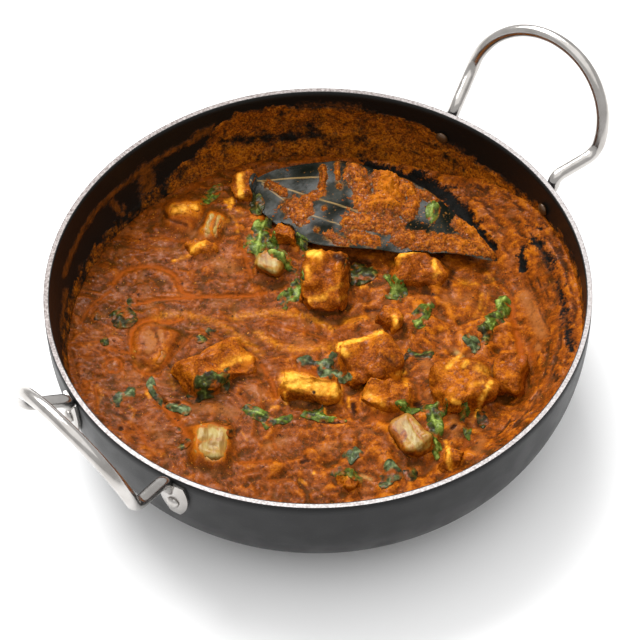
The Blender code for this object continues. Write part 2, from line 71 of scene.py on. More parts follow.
WIRE_RADIUS = 3.25 * MM
LOOP_HALF_WIDTH = 38.7 * MM
LOOP_HEIGHT = 37.8 * MM
LOOP_CENTRE = 3.3 * MM
LOOP_SLOPE = math.radians(68.9)
CORNER_OUT = 151.1 * MM
CORNER_RISE = 6.3 * MM
LEG_PIVOT_OUT = 125.3 * MM
LEG_HALF_SPACING = 32 * MM
RIVET_DROP = 15.5 * MM
RIVET_HALF_SPACING = 34.9 * MM
TAB_THICKNESS = 2.2 * MM
TAB_HALF_WIDTH = 7 * MM
TAB_ABOVE = 12 * MM
TAB_BELOW = 11 * MM
GAP = 0.35 * MM
HANDLES = (
    ("handle_back_right", 44.6, (2.9, 5.9, 4.1)),
    ("handle_front_left", 223.5, (-3.9, -2.2, -1.6)),
)

# ---- the gravy's broad form, as in the solids ----
GRAVY_LEVEL = 35 * MM
GRAVY_GRID = 309
WALL_CLIMB = 20 * MM
CLIMB_FOOT = 97 * MM
CLIMB_AZIMUTH = -12
CLIMB_SPREAD = 62
MOUNDS = (
    (64, -46, 34, 6.5),
    (20, -58, 30, 4.0),
    (30, -92, 26, 4.5),
    (54, 22, 26, 4.0),
    (-42, 74, 26, 2.5),
    (58, 78, 30, 3.5),
    (-45, -22, 22, 1.5),
)

BAY_BASE = Vector((-33, 98, 38)) * MM
BAY_TIP = Vector((88, 43, 42)) * MM
BAY_HALF_WIDTH = 25 * MM
BAY_WIDEST = 0.72
BAY_BOW = 3 * MM
BAY_ARCH = 6.5 * MM
BAY_BACK_LIFT = 3.5 * MM
BAY_WAVE = 0.8 * MM
BAY_THICKNESS = 0.6 * MM


# ---- small mathematics ----
def smooth_step(low, high, value):
    t = np.clip((value - low) / (high - low), 0.0, 1.0)
    return t * t * (3 - 2 * t)


def hashed(x, y, z, seed):
    h = (x * 374761393 + y * 668265263 + z * 1442695041 + seed * 974634777) & 0xFFFFFFFF
    h = ((h ^ (h >> 13)) * 1274126177) & 0xFFFFFFFF
    return (h ^ (h >> 16)) & 0xFFFFFFFF


def noise(places, size, seed=0):
    """Gradient noise of the given feature size, about -1 to 1, at an (N, 3) array of places."""
    scaled = places / size
    cell = np.floor(scaled).astype(np.int64)
    part = scaled - cell
    fade = part ** 3 * (part * (part * 6 - 15) + 10)
    total = np.zeros(len(places))
    for corner in itertools.product((0, 1), repeat=3):
        h = hashed(*(cell + corner).T, seed)
        slopes = np.stack([(h & 255), (h >> 8) & 255, (h >> 16) & 255], axis=1) / 127.5 - 1
        weight = np.where(corner, fade, 1 - fade).prod(axis=1)
        total += weight * (slopes * (part - corner)).sum(axis=1)
    return total * 1.4


def fractal(places, size, octaves, seed=0, gain=0.5):
    total = np.zeros(len(places))
    for octave in range(octaves):
        total += gain ** octave * noise(places, size / 2 ** octave, seed + 31 * octave)
    return total


def billow(places, size, octaves, seed=0, gain=0.5):
    """Rounded lumps with creases between them, about -1 to 1."""
    total = np.zeros(len(places))
    for octave in range(octaves):
        lump = 1 - 2 * np.abs(noise(places, size / 2 ** octave, seed + 17 * octave))
        total -= gain ** octave * (lump - 0.3)
    return total


def camera_axes():
    """The camera's right, up and forward, as fitted to the rim."""
    forward = np.array([0, math.cos(CAMERA_PITCH), -math.sin(CAMERA_PITCH)])
    right = np.array([1.0, 0, 0])
    up = np.cross(right, forward)
    turned_right = math.cos(CAMERA_ROLL) * right + math.sin(CAMERA_ROLL) * up
    turned_up = math.cos(CAMERA_ROLL) * up - math.sin(CAMERA_ROLL) * right
    return turned_right, turned_up, forward


def in_photo(places):
    """The pixels of the photograph at which places (N, 3) are seen."""
    right, up, forward = camera_axes()
    sight = places - CAMERA_PLACE
    scale = FOCAL_PX / (sight @ forward)
    return IMAGE_PX / 2 + (sight @ right) * scale, IMAGE_PX / 2 - (sight @ up) * scale


def places_at(x, y, z=None):
    """Fields of coordinates as one array of places (N, 3); without z, places on the floor."""
    return np.stack([x, y, np.zeros(x.shape) if z is None else z], axis=-1).reshape(-1, 3)


def line_distance(x, y, points):
    """Distance to an open polyline."""
    best = np.full(x.shape, 1e9)
    for (ax, ay), (bx, by) in zip(points, points[1:]):
        dx, dy = bx - ax, by - ay
        t = np.clip(((x - ax) * dx + (y - ay) * dy) / (dx * dx + dy * dy), 0, 1)
        best = np.minimum(best, np.hypot(x - ax - t * dx, y - ay - t * dy))
    return best


def rounded_line(points, steps, closed=False):
    """A Catmull-Rom curve through the points."""
    points = [np.array(p, float) for p in points]
    if closed:
        padded = [points[-1], *points, *points[:2]]
    else:
        padded = [2 * points[0] - points[1], *points, 2 * points[-1] - points[-2]]
    curve = []
    for a, b, c, d in zip(padded, padded[1:], padded[2:], padded[3:]):
        for i in range(steps):
            t = i / steps
            curve.append(0.5 * (2 * b + (c - a) * t + (2 * a - 5 * b + 4 * c - d) * t * t
                                + (3 * b - a - 3 * c + d) * t ** 3))
    return np.array(curve if closed else curve + points[-1:])


# ---- mesh helpers ----
ABOVE_ALL = 200 * MM


def link(name, data):
    obj = bpy.data.objects.new(name, data)
    bpy.context.scene.collection.objects.link(obj)
    return obj


def add_piece(mesh, mats, replaced=()):
    """Put a finished mesh in the scene as a piece of the dish; replaced are the nodes it stands for."""
    mesh.shade_smooth()
    for mat in mats:
        mesh.materials.append(mat)
    obj = link(mesh.name, mesh)
    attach(obj, "root")
    if replaced:
        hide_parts(*replaced)
    return obj


def add_mesh(name, verts, faces, mats, replaced=()):
    mesh = bpy.data.meshes.new(name)
    mesh.from_pydata(np.asarray(verts).tolist(), [], faces)
    mesh.validate()
    return add_piece(mesh, mats, replaced)


def paint(obj, fields):
    """Store each named field, one number for a vertex, for the material to read."""
    for name, field in fields.items():
        attribute = obj.data.attributes.new(name, "FLOAT", "POINT")
        attribute.data.foreach_set("value", np.asarray(field, np.float32).ravel())


def grid_faces(rows, columns, closed=False, turned=False):
    """Quads of a grid stored row by row; closed joins its last column to its first, and
    turned makes them face the other way."""
    faces = []
    for i in range(rows - 1):
        for j in range(columns if closed else columns - 1):
            k = (j + 1) % columns
            face = (i * columns + j, i * columns + k, (i + 1) * columns + k, (i + 1) * columns + j)
            faces.append(face[::-1] if turned else face)
    return faces


def grid_border(rows, columns):
    """The edges round a grid, as pairs of indices that start along its first row."""
    border = list(range(columns)) + [i * columns + columns - 1 for i in range(1, rows)]
    border += [(rows - 1) * columns + j for j in range(columns - 2, -1, -1)]
    border += [i * columns for i in range(rows - 2, 0, -1)]
    return list(zip(border, border[1:] + border[:1]))


def two_sided(up, count, edges):
    """Faces of a closed sheet: the upper ones, the same turned over count vertices on, and the edges."""
    under = [tuple(count + i for i in reversed(face)) for face in up]
    return up + under + [(a, count + a, count + b, b) for a, b in edges]


def tree_of(*objects):
    verts = []
    faces = []
    for obj in objects:
        start = len(verts)
        verts.extend(obj.matrix_world @ v.co for v in obj.data.vertices)
        faces.extend([start + i for i in face.vertices] for face in obj.data.polygons)
    return BVHTree.FromPolygons(verts, faces)


def heights_over(tree, x, y, missing=-1.0):
    """The highest surface over each (x, y)."""
    down = Vector((0, 0, -1))
    result = np.full(x.size, missing)
    for i, (px, py) in enumerate(zip(x.ravel().tolist(), y.ravel().tolist())):
        hit = tree.ray_cast(Vector((px, py, ABOVE_ALL)), down)[0]
        if hit is not None:
            result[i] = hit.z
    return result.reshape(x.shape)


# ---- material helper ----
class Graph:
    """Builds the nodes of one material; sizes and depths are in millimetres.

    Any input may be a number, a colour, a socket or the name of a painted field.
    """

    def __init__(self, name):
        self.material = bpy.data.materials.new(name)
        self.material.use_nodes = True
        self.tree = self.material.node_tree
        self.shader = self.tree.nodes["Principled BSDF"]
        self.places = self.node("ShaderNodeTexCoord").outputs["Object"]

    def put(self, socket, value):
        if isinstance(value, str):
            value = self.node("ShaderNodeAttribute", attribute_name=value).outputs["Fac"]
        if isinstance(value, bpy.types.NodeSocket):
            self.tree.links.new(value, socket)
        elif isinstance(value, tuple) and len(value) == 3 and socket.type == "RGBA":
            socket.default_value = (*value, 1.0)
        else:
            socket.default_value = value

    def node(self, kind, inputs=None, **settings):
        node = self.tree.nodes.new(kind)
        for key, value in settings.items():
            setattr(node, key, value)
        for key, value in (inputs or {}).items():
            self.put(node.inputs[key], value)
        return node

    def noise(self, size, detail=3.0, distortion=0.0, places=None, rough=0.5):
        node = self.node("ShaderNodeTexNoise", {
            "Vector": places or self.places, "Scale": 1 / (size * MM), "Detail": detail,
            "Roughness": rough, "Distortion": distortion})
        return node.outputs["Fac"]

    def cells(self, size, feature="F1", places=None):
        inputs = {"Vector": places or self.places, "Scale": 1 / (size * MM)}
        return self.node("ShaderNodeTexVoronoi", inputs, feature=feature).outputs["Distance"]

    def stretched(self, scale, turn=(0, 0, 0)):
        inputs = {"Vector": self.places, "Scale": scale, "Rotation": turn}
        return self.node("ShaderNodeMapping", inputs).outputs[0]

    def sums(self, *terms, offset=0.0):
        """offset plus each (value, factor)."""
        total = offset
        for value, factor in terms:
            node = self.node("ShaderNodeMath", {0: value, 1: factor, 2: total}, operation="MULTIPLY_ADD")
            total = node.outputs[0]
        return total

    def product(self, a, b):
        return self.node("ShaderNodeMath", {0: a, 1: b}, operation="MULTIPLY").outputs[0]

    def span(self, value, low, high, to_low=0.0, to_high=1.0):
        return self.node("ShaderNodeMapRange", {
            "Value": value, "From Min": low, "From Max": high, "To Min": to_low, "To Max": to_high},
            interpolation_type="SMOOTHSTEP").outputs[0]

    def ramp(self, value, *stops):
        node = self.node("ShaderNodeValToRGB", {"Fac": value})
        elements = node.color_ramp.elements
        while len(elements) < len(stops):
            elements.new(0.5)
        for element, (place, colour) in zip(elements, stops):
            element.position = place
            element.color = (*colour, 1.0)
        return node.outputs["Color"]

    def mix(self, share, a, b):
        node = self.node("ShaderNodeMix", data_type="RGBA")
        self.put(node.inputs[0], share)
        self.put(node.inputs[6], a)
        self.put(node.inputs[7], b)
        return node.outputs[2]

    def bump(self, height, depth, below=None, strength=1.0):
        inputs = {"Height": height, "Distance": depth * MM, "Strength": strength}
        if below is not None:
            inputs["Normal"] = below
        return self.node("ShaderNodeBump", inputs).outputs[0]

    def done(self, **values):
        for key, value in values.items():
            self.put(self.shader.inputs[key.replace("_", " ")], value)
        return self.material


# ---- materials ----
DEEP_SAUCE = (0.066, 0.019, 0.001)
RED_SAUCE = (0.130, 0.027, 0.001)
SAUCE = (0.225, 0.049, 0.002)
ORANGE_SAUCE = (0.41, 0.113, 0.003)
CREASE = (0.27, 0.054, 0.002)
GOLDEN = (0.60, 0.225, 0.010)
YELLOW = (0.95, 0.46, 0.050)
# the colour of the pale marks: painted sheen and highlights
SHEEN_MARK_COLOUR = (0.27, 0.088, 0.019)
# the colour of broad patches of painted sheen on the gravy
SHEEN_PATCH_COLOUR = (0.29, 0.087, 0.021)
CLEAR_ONION = (0.38, 0.26, 0.090)
# the colour of the dark marks: mostly painted shade, with some dark specks and streaks
SHADE = (0.022, 0.005, 0.001)
BLACK_COATING = (0.004, 0.0038, 0.003)


def sauce_colour(g, *terms, offset=-0.45, contrast=1.0):
    """Red-brown in the hollows, for oil pooled there and as painted shade, orange on the crests, mottled all
    over; terms shift the tone.
    """
    patches = g.sums((g.noise(19, 4, 0.8), 0.75), (g.noise(6.5, 3, 0.5), 0.5), offset=-0.625)
    mottle = g.sums((g.noise(2.6, 6, 0.6, rough=0.65), 0.6), (g.noise(0.85, 3, 0.3), 1.3), offset=-0.95)
    value = g.sums(("relief", 0.22), (patches, 1.0), (mottle, contrast), *terms, offset=offset + 0.975)
    colour = g.ramp(value, (0.08, DEEP_SAUCE), (0.30, RED_SAUCE), (0.54, SAUCE), (0.88, ORANGE_SAUCE))
    grains = g.span(g.noise(1.0, 2, 0.5, places=g.stretched((1, 1, 1), (0, 0, 1))), 0.66, 0.74)
    colour = g.mix(grains, colour, (0.42, 0.15, 0.010))
    flecks = g.span(g.cells(3.1, places=g.stretched((1, 1.4, 1), (0, 0, 0.7))), 0.08, 0.16, 1.0, 0.0)
    rare = g.span(g.noise(9, 2, places=g.stretched((1, 1, 1), (0, 0, 2))), 0.50, 0.60)
    return g.mix(g.product(flecks, rare), colour, (0.030, 0.012, 0.002))


def marked_colour(g, colour):
    """The painted marks laid over a colour; the pale ones are painted sheen and highlights, the dark ones
    mostly painted shade.
    """
    ragged = g.sums((g.noise(1.8, 5, rough=0.65), 1.0), offset=-0.5)
    for kind, tint in (("pale", SHEEN_MARK_COLOUR), ("clear", CLEAR_ONION), ("crease", CREASE), ("golden", None),
                       ("dark", SHADE)):
        strength = g.sums((kind, 1.0), (g.product(ragged, kind), 1.8))
        if tint is None:
            depth = g.sums((strength, 0.7), (ragged, 0.6))
            tint = g.ramp(depth, (0.2, ORANGE_SAUCE), (0.6, GOLDEN), (0.95, YELLOW))
        colour = g.mix(g.span(strength, 0.08, 0.95, 0.0, 0.92), colour, tint)
    return colour


def gravy_material():
    g = Graph("gravy")
    # painted light and shade: small and relief darken hollows and lighten crests, gloss darkens the smooth
    # glossy gravy as painted shade, tone darkens the right of the wall
    tones = (("small", 0.14), ("relief", 0.12), ("gloss", -0.33), ("tone", 1.0))
    contrast = g.span("gloss", 0.2, 1.0, 0.64, 0.28)
    colour = sauce_colour(g, *tones, offset=-0.42, contrast=contrast)
    patches = g.noise(7, 4, 0.6)
    # pinkish patches mixed into the colour: painted sheen
    painted_sheen = g.sums((patches, 1.0), ("gloss", 0.04))
    colour = marked_colour(g, g.mix(g.span(painted_sheen, 0.50, 0.74, 0.0, 0.42), colour, SHEEN_PATCH_COLOUR))
    ragged = g.sums(("bare", 1.0), (g.noise(1.6, 5, rough=0.65), 3.0),
                    (g.noise(5, 3), 1.8), offset=-2.42)
    black = g.span(ragged, 0.20, 0.95)
    colour = g.mix(black, colour, BLACK_COATING)
    fine = g.bump(g.noise(0.75, 3), 0.25, strength=g.span("gloss", 0.2, 1.0, 1.0, 0.6))
    grain = g.bump(g.noise(3.0, 4, 0.4, rough=0.6), 0.40, fine, strength=g.span("gloss", 0.2, 1.0, 1.0, 0.6))
    wet = g.bump(g.noise(1.5, 2), 0.13, g.bump(g.noise(4, 2, 0.4), 0.45))
    sparkle = g.span(g.noise(1.5, 3), 0.58, 0.68, 0.0, 0.17)
    patchy = g.span(patches, 0.50, 0.70, 0.0, 0.12)
    film = g.sums((patchy, 1.0), (g.span("gloss", 0.0, 1.0, 0.0, 0.05), 1.0), (sparkle, 1.0))
    film = g.product(film, g.span("crease", 0.1, 0.7, 1.0, 0.1))
    film = g.product(film, g.span("small", -0.6, 0.3, 0.1, 1.15))
    film = g.product(film, g.span(black, 0.0, 0.5, 1.0, 0.0))
    return g.done(Base_Color=colour, Roughness=0.5, Normal=grain, Specular_IOR_Level=0.04,
                  Coat_Weight=film, Coat_Roughness=0.11, Coat_Normal=wet)


def wall_sauce_material():
    g = Graph("wall_sauce")
    colour = sauce_colour(g, offset=-0.40, contrast=1.3)
    grains = g.noise(1.4, 6, 0.3, rough=0.7)
    colour = g.mix(g.span(grains, 0.52, 0.64, 0.0, 0.55), colour, (0.37, 0.128, 0.008))
    colour = g.mix(g.span(grains, 0.36, 0.49, 0.70, 0.0), colour, (0.018, 0.009, 0.003))
    worn = g.sums(("cover", 1.0), (g.noise(2.2, 6, rough=0.7), 2.2), (g.noise(8, 3), 2.2),
                  offset=-2.35)
    colour = g.mix(g.span(worn, -0.30, 0.80), (0.007, 0.005, 0.003), colour)
    grain = g.bump(g.noise(1.4, 4), 0.5)
    rough = g.span(g.noise(5, 3), 0.3, 0.7, 0.35, 0.6)
    return g.done(Base_Color=colour, Roughness=rough, Normal=grain, Specular_IOR_Level=0.10)


def leaf_sauce_material():
    g = Graph("sauce_on_leaf")
    extra = (("relief", 0.16), (g.noise(5, 3), 0.6))
    colour = sauce_colour(g, *extra, offset=-0.72)
    grains = g.noise(1.5, 5, 0.4, rough=0.65)
    colour = g.mix(g.span(grains, 0.52, 0.68, 0.0, 0.55), colour, (0.42, 0.158, 0.013))
    colour = g.mix(g.span(grains, 0.30, 0.48, 0.95, 0.0), colour, (0.034, 0.014, 0.003))
    grain = g.bump(g.noise(1.2, 4), 0.55)
    return g.done(Base_Color=colour, Roughness=0.5, Normal=grain, Specular_IOR_Level=0.06,
                  Coat_Weight=g.span(g.noise(1.6, 3), 0.55, 0.68, 0.02, 0.4), Coat_Roughness=0.16)


def paneer_material():
    g = Graph("paneer")
    colour = sauce_colour(g, (g.noise(6, 3), 0.8), offset=-0.70, contrast=0.9)
    lit = g.sums((g.noise(3.2, 5, 0.6, rough=0.65), 1.0), ("golden", 0.22), offset=-0.10)
    curd = g.ramp(lit, (0.25, (0.38, 0.115, 0.005)), (0.5, (0.60, 0.225, 0.012)), (0.8, (0.94, 0.47, 0.055)))
    edge = g.sums(("golden", 1.0), (g.noise(2.0, 5, rough=0.65), 1.1), ("foot", -0.2),
                  offset=-0.50)
    colour = g.mix(g.span(edge, 0.05, 0.90), colour, curd)
    colour = g.mix(g.span("crease", 0.2, 1.2), colour, CREASE)
    colour = g.mix(g.span("dark", 0.2, 1.0), colour, SHADE)
    pores = g.bump(g.noise(0.9, 3), 0.35)
    crumb = g.bump(g.noise(2.2, 4), 0.8, pores)
    return g.done(Base_Color=colour, Roughness=0.5, Normal=crumb, Specular_IOR_Level=0.05,
                  Coat_Weight=g.span(g.noise(2.5, 4), 0.48, 0.68, 0.02, 0.22), Coat_Roughness=0.2)


def onion_material():
    g = Graph("onion")
    layers = g.noise(2.2, 3, 0.3, places=g.stretched((1.0, 0.22, 1.0), (0, 0, -0.75)))
    flesh = g.ramp(layers, (0.30, (0.19, 0.075, 0.006)), (0.50, (0.30, 0.15, 0.018)),
                   (0.72, (0.33, 0.22, 0.045)))
    core = g.ramp(layers, (0.36, (0.20, 0.105, 0.014)), (0.50, (0.28, 0.19, 0.05)),
                  (0.64, (0.37, 0.29, 0.11)))
    flesh = g.mix(g.span("clear", 0.2, 0.9, 0.0, 0.85), flesh, core)
    dabs = g.span(g.sums((g.noise(4.5, 4), 0.9), ("golden", 0.7), ("clear", -0.22),
                         ("foot", 0.50), ("relief", -0.12)), 0.43, 0.72)
    stain = g.ramp(g.noise(2.4, 5, rough=0.6), (0.35, RED_SAUCE), (0.65, (0.36, 0.105, 0.005)))
    colour = g.mix(dabs, flesh, stain)
    colour = g.mix(g.span("crease", 0.2, 1.0), colour, CREASE)
    colour = g.mix(g.span("dark", 0.2, 1.0), colour, SHADE)
    return g.done(Base_Color=colour, Roughness=0.45, Normal=g.bump(layers, 0.6), Specular_IOR_Level=0.08,
                  Coat_Weight=0.3, Coat_Roughness=0.2)


# for each kind of leaf: its material, three greens from dark to pale, and the share of sauce on it
GREEN_LOOKS = {
    "bright": ("coriander", (0.009, 0.018, 0.002), (0.066, 0.112, 0.010), (0.30, 0.40, 0.08), 0.08),
    "dark": ("coriander_dark", (0.004, 0.008, 0.002), (0.018, 0.033, 0.004), (0.13, 0.18, 0.04), 0.16),
    "blue": ("coriander_wet", (0.009, 0.017, 0.006), (0.046, 0.078, 0.026), (0.20, 0.26, 0.12), 0.10),
}


def leaf_material(name, dark, light, pale, sauce_share):
    """Wilted herb: paler veins, dark wet patches, painted shade in the hollows of its crumples and painted
    light on their crests, and dabs of sauce.
    """
    g = Graph(name)
    # fold lightens the raised parts of the crumpled leaf and darkens its hollows: painted light and shade
    tone = g.sums((g.noise(3.4, 5, 0.5, rough=0.6), 1.35), ("vein", 0.22), ("fold", 0.30),
                  offset=-0.34)
    colour = g.ramp(tone, (0.20, dark), (0.48, light), (0.80, pale))
    dab = g.span(g.sums((g.noise(3.4, 4, 0.8), 1.0), ("sauce", 0.35)), 0.74 - sauce_share, 0.98,
                 0.05, 1.0)
    colour = g.mix(dab, colour, SAUCE)
    wrinkle = g.bump(g.noise(1.1, 3, 1.0), 0.3)
    return g.done(Base_Color=colour, Roughness=0.5, Normal=wrinkle, Specular_IOR_Level=0.06,
                  Coat_Weight=g.span(g.noise(3, 3), 0.42, 0.68, 0.03, 0.3), Coat_Roughness=0.22)


def bay_material():
    g = Graph("bay_leaf")
    tone = g.noise(8, 5, 0.4)
    colour = g.ramp(tone, (0.32, (0.006, 0.007, 0.004)), (0.50, (0.015, 0.016, 0.012)),
                    (0.72, (0.036, 0.038, 0.031)))
    colour = g.mix("dark", colour, (0.004, 0.005, 0.003))
    colour = g.mix(g.span("vein", 0.2, 1.0, 0.0, 0.75), colour, (0.30, 0.19, 0.07))
    smeared = g.sums(("film", 0.9), (g.noise(2.0, 6, 0.4, rough=0.65), 1.3), offset=-0.80)
    tint = g.ramp(g.noise(1.6, 4), (0.3, (0.05, 0.022, 0.004)), (0.55, (0.13, 0.052, 0.007)),
                  (0.8, (0.26, 0.11, 0.014)))
    colour = g.mix(g.span(smeared, 0.05, 0.5), colour, tint)
    crumb = g.sums((g.noise(1.1, 3, 0.3), 1.0), (g.noise(7, 3), 0.35), ("crumbs", 0.06))
    colour = g.mix(g.span(crumb, 0.86, 0.93), colour, (0.13, 0.056, 0.012))
    net = g.bump(g.cells(2.4, "DISTANCE_TO_EDGE"), 0.25, strength=0.6)
    sheen = g.product(g.span(g.noise(11, 3), 0.40, 0.62, 0.03, 0.26),
                      g.span("dark", 0.0, 0.8, 1.0, 0.12))
    return g.done(Base_Color=colour, Roughness=g.span(tone, 0.3, 0.7, 0.34, 0.5), Specular_IOR_Level=sheen,
                  Normal=g.bump(g.noise(0.9, 3), 0.14, net))


def enamel_material():
    g = Graph("pan_enamel")
    speckle = g.span(g.cells(1.7), 0.05, 0.16, 1.0, 0.0)
    some = g.span(g.noise(6, 3), 0.5, 0.66)
    colour = g.mix(g.noise(30, 3), (0.0045, 0.0045, 0.005), (0.009, 0.009, 0.0094))
    colour = g.mix(g.product(speckle, some), colour, (0.075, 0.075, 0.075))
    skin = g.bump(g.noise(0.8, 2), 0.05)
    return g.done(Base_Color=colour, Roughness=g.span(g.noise(14, 3), 0.3, 0.7, 0.40, 0.50), Normal=skin,
                  Specular_IOR_Level=0.30)


def coating_material():
    g = Graph("pan_coating")
    film = g.sums(("stain", 1.15), (g.noise(2.0, 6, 0.3, rough=0.65), 1.5), offset=-1.02)
    film = g.span(film, 0.0, 0.6)
    tint = g.ramp(g.noise(3, 5, 0.4, rough=0.65), (0.35, (0.030, 0.010, 0.002)), (0.70, (0.20, 0.056, 0.006)))
    colour = g.mix(film, BLACK_COATING, tint)
    skin = g.bump(g.noise(1.0, 3), 0.08)
    skin = g.bump(film, 0.25, skin)
    return g.done(Base_Color=colour, Roughness=g.span(film, 0.0, 1.0, 0.42, 0.34), Normal=skin,
                  Specular_IOR_Level=0.22)


def rim_material():
    g = Graph("bare_rim")
    streaks = g.noise(1.2, 4, places=g.stretched((1, 1, 3)))
    colour = g.ramp(streaks, (0.30, (0.22, 0.195, 0.19)), (0.62, (0.31, 0.295, 0.29)))
    # a darker copy of the bare metal, laid on as painted shade
    dull = g.ramp(streaks, (0.30, (0.10, 0.082, 0.076)), (0.62, (0.19, 0.172, 0.166)))
    colour = g.mix("dull", colour, dull)
    return g.done(Base_Color=colour, Metallic=1.0, Roughness=g.span(streaks, 0.3, 0.7, 0.60, 0.48),
                  Normal=g.bump(streaks, 0.06))


def steel_material():
    g = Graph("handle_steel")
    scuffs = g.noise(1.5, 4, places=g.stretched((1, 1, 0.3)))
    colour = g.ramp(g.noise(16, 3), (0.3, (0.33, 0.31, 0.29)), (0.7, (0.50, 0.48, 0.46)))
    return g.done(Base_Color=colour, Metallic=1.0, Roughness=g.span(scuffs, 0.3, 0.75, 0.16, 0.27),
                  Normal=g.bump(scuffs, 0.03))


def rivet_material():
    """Steel, stained by the sauce on the inside of the pan."""
    g = Graph("rivet_steel")
    stain = g.span(g.sums(("inside", 1.0), (g.noise(2, 4), 0.6), offset=-0.3), 0.45, 0.7)
    colour = g.mix(stain, g.ramp(g.noise(3, 3), (0.3, (0.30, 0.28, 0.26)), (0.7, (0.48, 0.46, 0.44))),
                   (0.075, 0.035, 0.012))
    return g.done(Base_Color=colour, Metallic=g.span(stain, 0.0, 1.0, 1.0, 0.25), Roughness=0.3,
                  Normal=g.bump(g.noise(1.5, 3), 0.05))


def floor_material():
    g = Graph("white_ground")
    return g.done(Base_Color=g.mix(g.noise(400, 2), (0.92, 0.92, 0.92), (0.94, 0.94, 0.94)), Roughness=0.7)


# ---- the pan ----
def wall_profile(rim_radius, base_radius, floor, stations):
    points = []
    for i in range(stations + 1):
        angle = i / stations * math.pi / 2
        reach = max(math.cos(angle), 0.0) ** (2 / WALL_FULLNESS)
        fall = math.sin(angle) ** (2 / WALL_FULLNESS)
        points.append((base_radius + (rim_radius - base_radius) * reach,
                       RIM_HEIGHT - (RIM_HEIGHT - floor) * fall))
    return points


OUTER_WALL = wall_profile(RIM_RADIUS, BASE_RADIUS, 0.0, 40)
INNER_WALL = wall_profile(RIM_RADIUS - WALL, BASE_RADIUS - WALL / 2, FLOOR, 64)


def radius_at(wall, height):
    radii, heights = np.array(wall[::-1]).T
    return np.interp(height, heights, radii)


def wall_height_at(radius):
    """The height of the inner wall at a distance from the middle."""
    radii, heights = np.array(INNER_WALL[::-1]).T
    return np.interp(radius, radii, heights)


def angles_apart(a, b):
    """How far apart two azimuths are, in degrees."""
    return np.abs((a - b + 180) % 360 - 180)


# the rim's painted shade is deepest at this azimuth, and the wall is clean in front of this y
RIM_SHADE_AZIMUTH = 135
STAIN_FRONT = -90 * MM

# thin smears on the bare wall: half width (px), strength, pixels
SMEARS = (
    (3.0, 0.9, (64, 276), (70, 258), (78, 240), (88, 222), (98, 208), (110, 197), (117, 190)),
    (3.5, 0.8, (117, 190), (130, 180), (145, 168), (170, 152), (190, 142), (205, 133), (212, 127)),
    (4.0, 0.9, (196, 134), (210, 130)), (10.0, 0.85, (146, 172), (148, 190), (150, 208)),
    (5.0, 0.8, (112, 202), (120, 212)), (3.0, 0.6, (123, 206), (127, 226)), (3.0, 1.2, (68, 266)),
    (6.0, 0.6, (82, 268), (92, 262)), (3.0, 0.55, (100, 252), (108, 236)),
    (4.0, 0.7, (66, 290), (64, 310), (62, 330)), (5.0, 0.6, (566, 258), (577, 288), (583, 315)),
    (6.0, 0.6, (446, 146), (460, 152)), (7.0, 0.7, (226, 130), (245, 124), (262, 116)),
    (6.0, 0.5, (300, 108), (330, 106), (360, 108)),
)
# places where gravy and coat leave the black wall bare: half width (px), strength, pixels
BARE_WALL = (
    (3.0, 1.25, (523, 246), (522, 258), (524, 269)), (7.0, 0.8, (532, 236), (543, 249), (552, 264)),
    (4.0, 0.6, (557, 283), (562, 293)), (5.0, 0.85, (563, 303), (567, 325), (572, 348)),
    (1.8, 1.0, (541, 229)), (2.0, 0.8, (519, 222)),
    (6.0, 0.9, (222, 142), (250, 138), (275, 136), (300, 136), (322, 134)),
    (5.0, 0.5, (330, 134), (352, 138), (380, 146), (402, 148)), (4.0, 0.5, (352, 158), (380, 163)),
    (4.0, 0.5, (440, 150), (452, 160), (462, 172)),
)

# the upper edge of the coat of sauce on the wall and how well it covers: azimuth, height (mm), cover
COAT_EDGE = ((-100, 43, 0.5), (-80, 50, 0.7), (-60, 55, 0.8), (-40, 58, 0.8), (-20, 59, 0.8), (0, 59.5, 0.8),
             (18, 59, 0.8), (27, 57, 0.8), (37, 55.5, 0.8), (47, 55, 0.8), (55, 55.5, 0.85), (64, 61, 0.9),
             (72, 64.5, 0.85), (80, 64, 0.8), (87, 64, 0.75), (93, 64.5, 0.8), (100, 66, 0.85),
             (109, 67, 0.8), (114, 58, 0.7), (120, 47, 0.6), (128, 43, 0.5), (140, 41, 0.4), (155, 40, 0.35),
             (170, 41, 0.4), (180, 42, 0.35), (195, 42, 0.4), (215, 42, 0.5), (240, 42, 0.5), (260, 43, 0.5))


def coat_on_wall(azimuth, height):
    """How far inside the coat a place is (below 0 outside it), and how well it covers there."""
    azimuths, levels, covers = np.array(COAT_EDGE, float).T
    turn = (azimuth + 100) % 360 - 100
    inside = np.clip((np.interp(turn, azimuths, levels) - height) / 4.0, -1.5, 1)
    return inside, np.interp(turn, azimuths, covers)


def pan_section():
    """The pan's section from the middle of its base over the rim to the middle of its floor,
    and the numbers of the first and last rings of its bare edge."""
    under = [(radius, 0.0) for radius in BASE_RINGS]
    outside = OUTER_WALL[::-1]
    lip = [(RIM_RADIUS - WALL * share, RIM_HEIGHT) for share in (0.06, 0.16, 0.34, 0.5, 0.66, 0.84, 0.94)]
    floor = [(radius, FLOOR) for radius in reversed(BASE_RINGS)]
    first_bare = len(under) + len(outside)
    return under + outside + lip + INNER_WALL + floor, first_bare, first_bare + len(lip) - 2


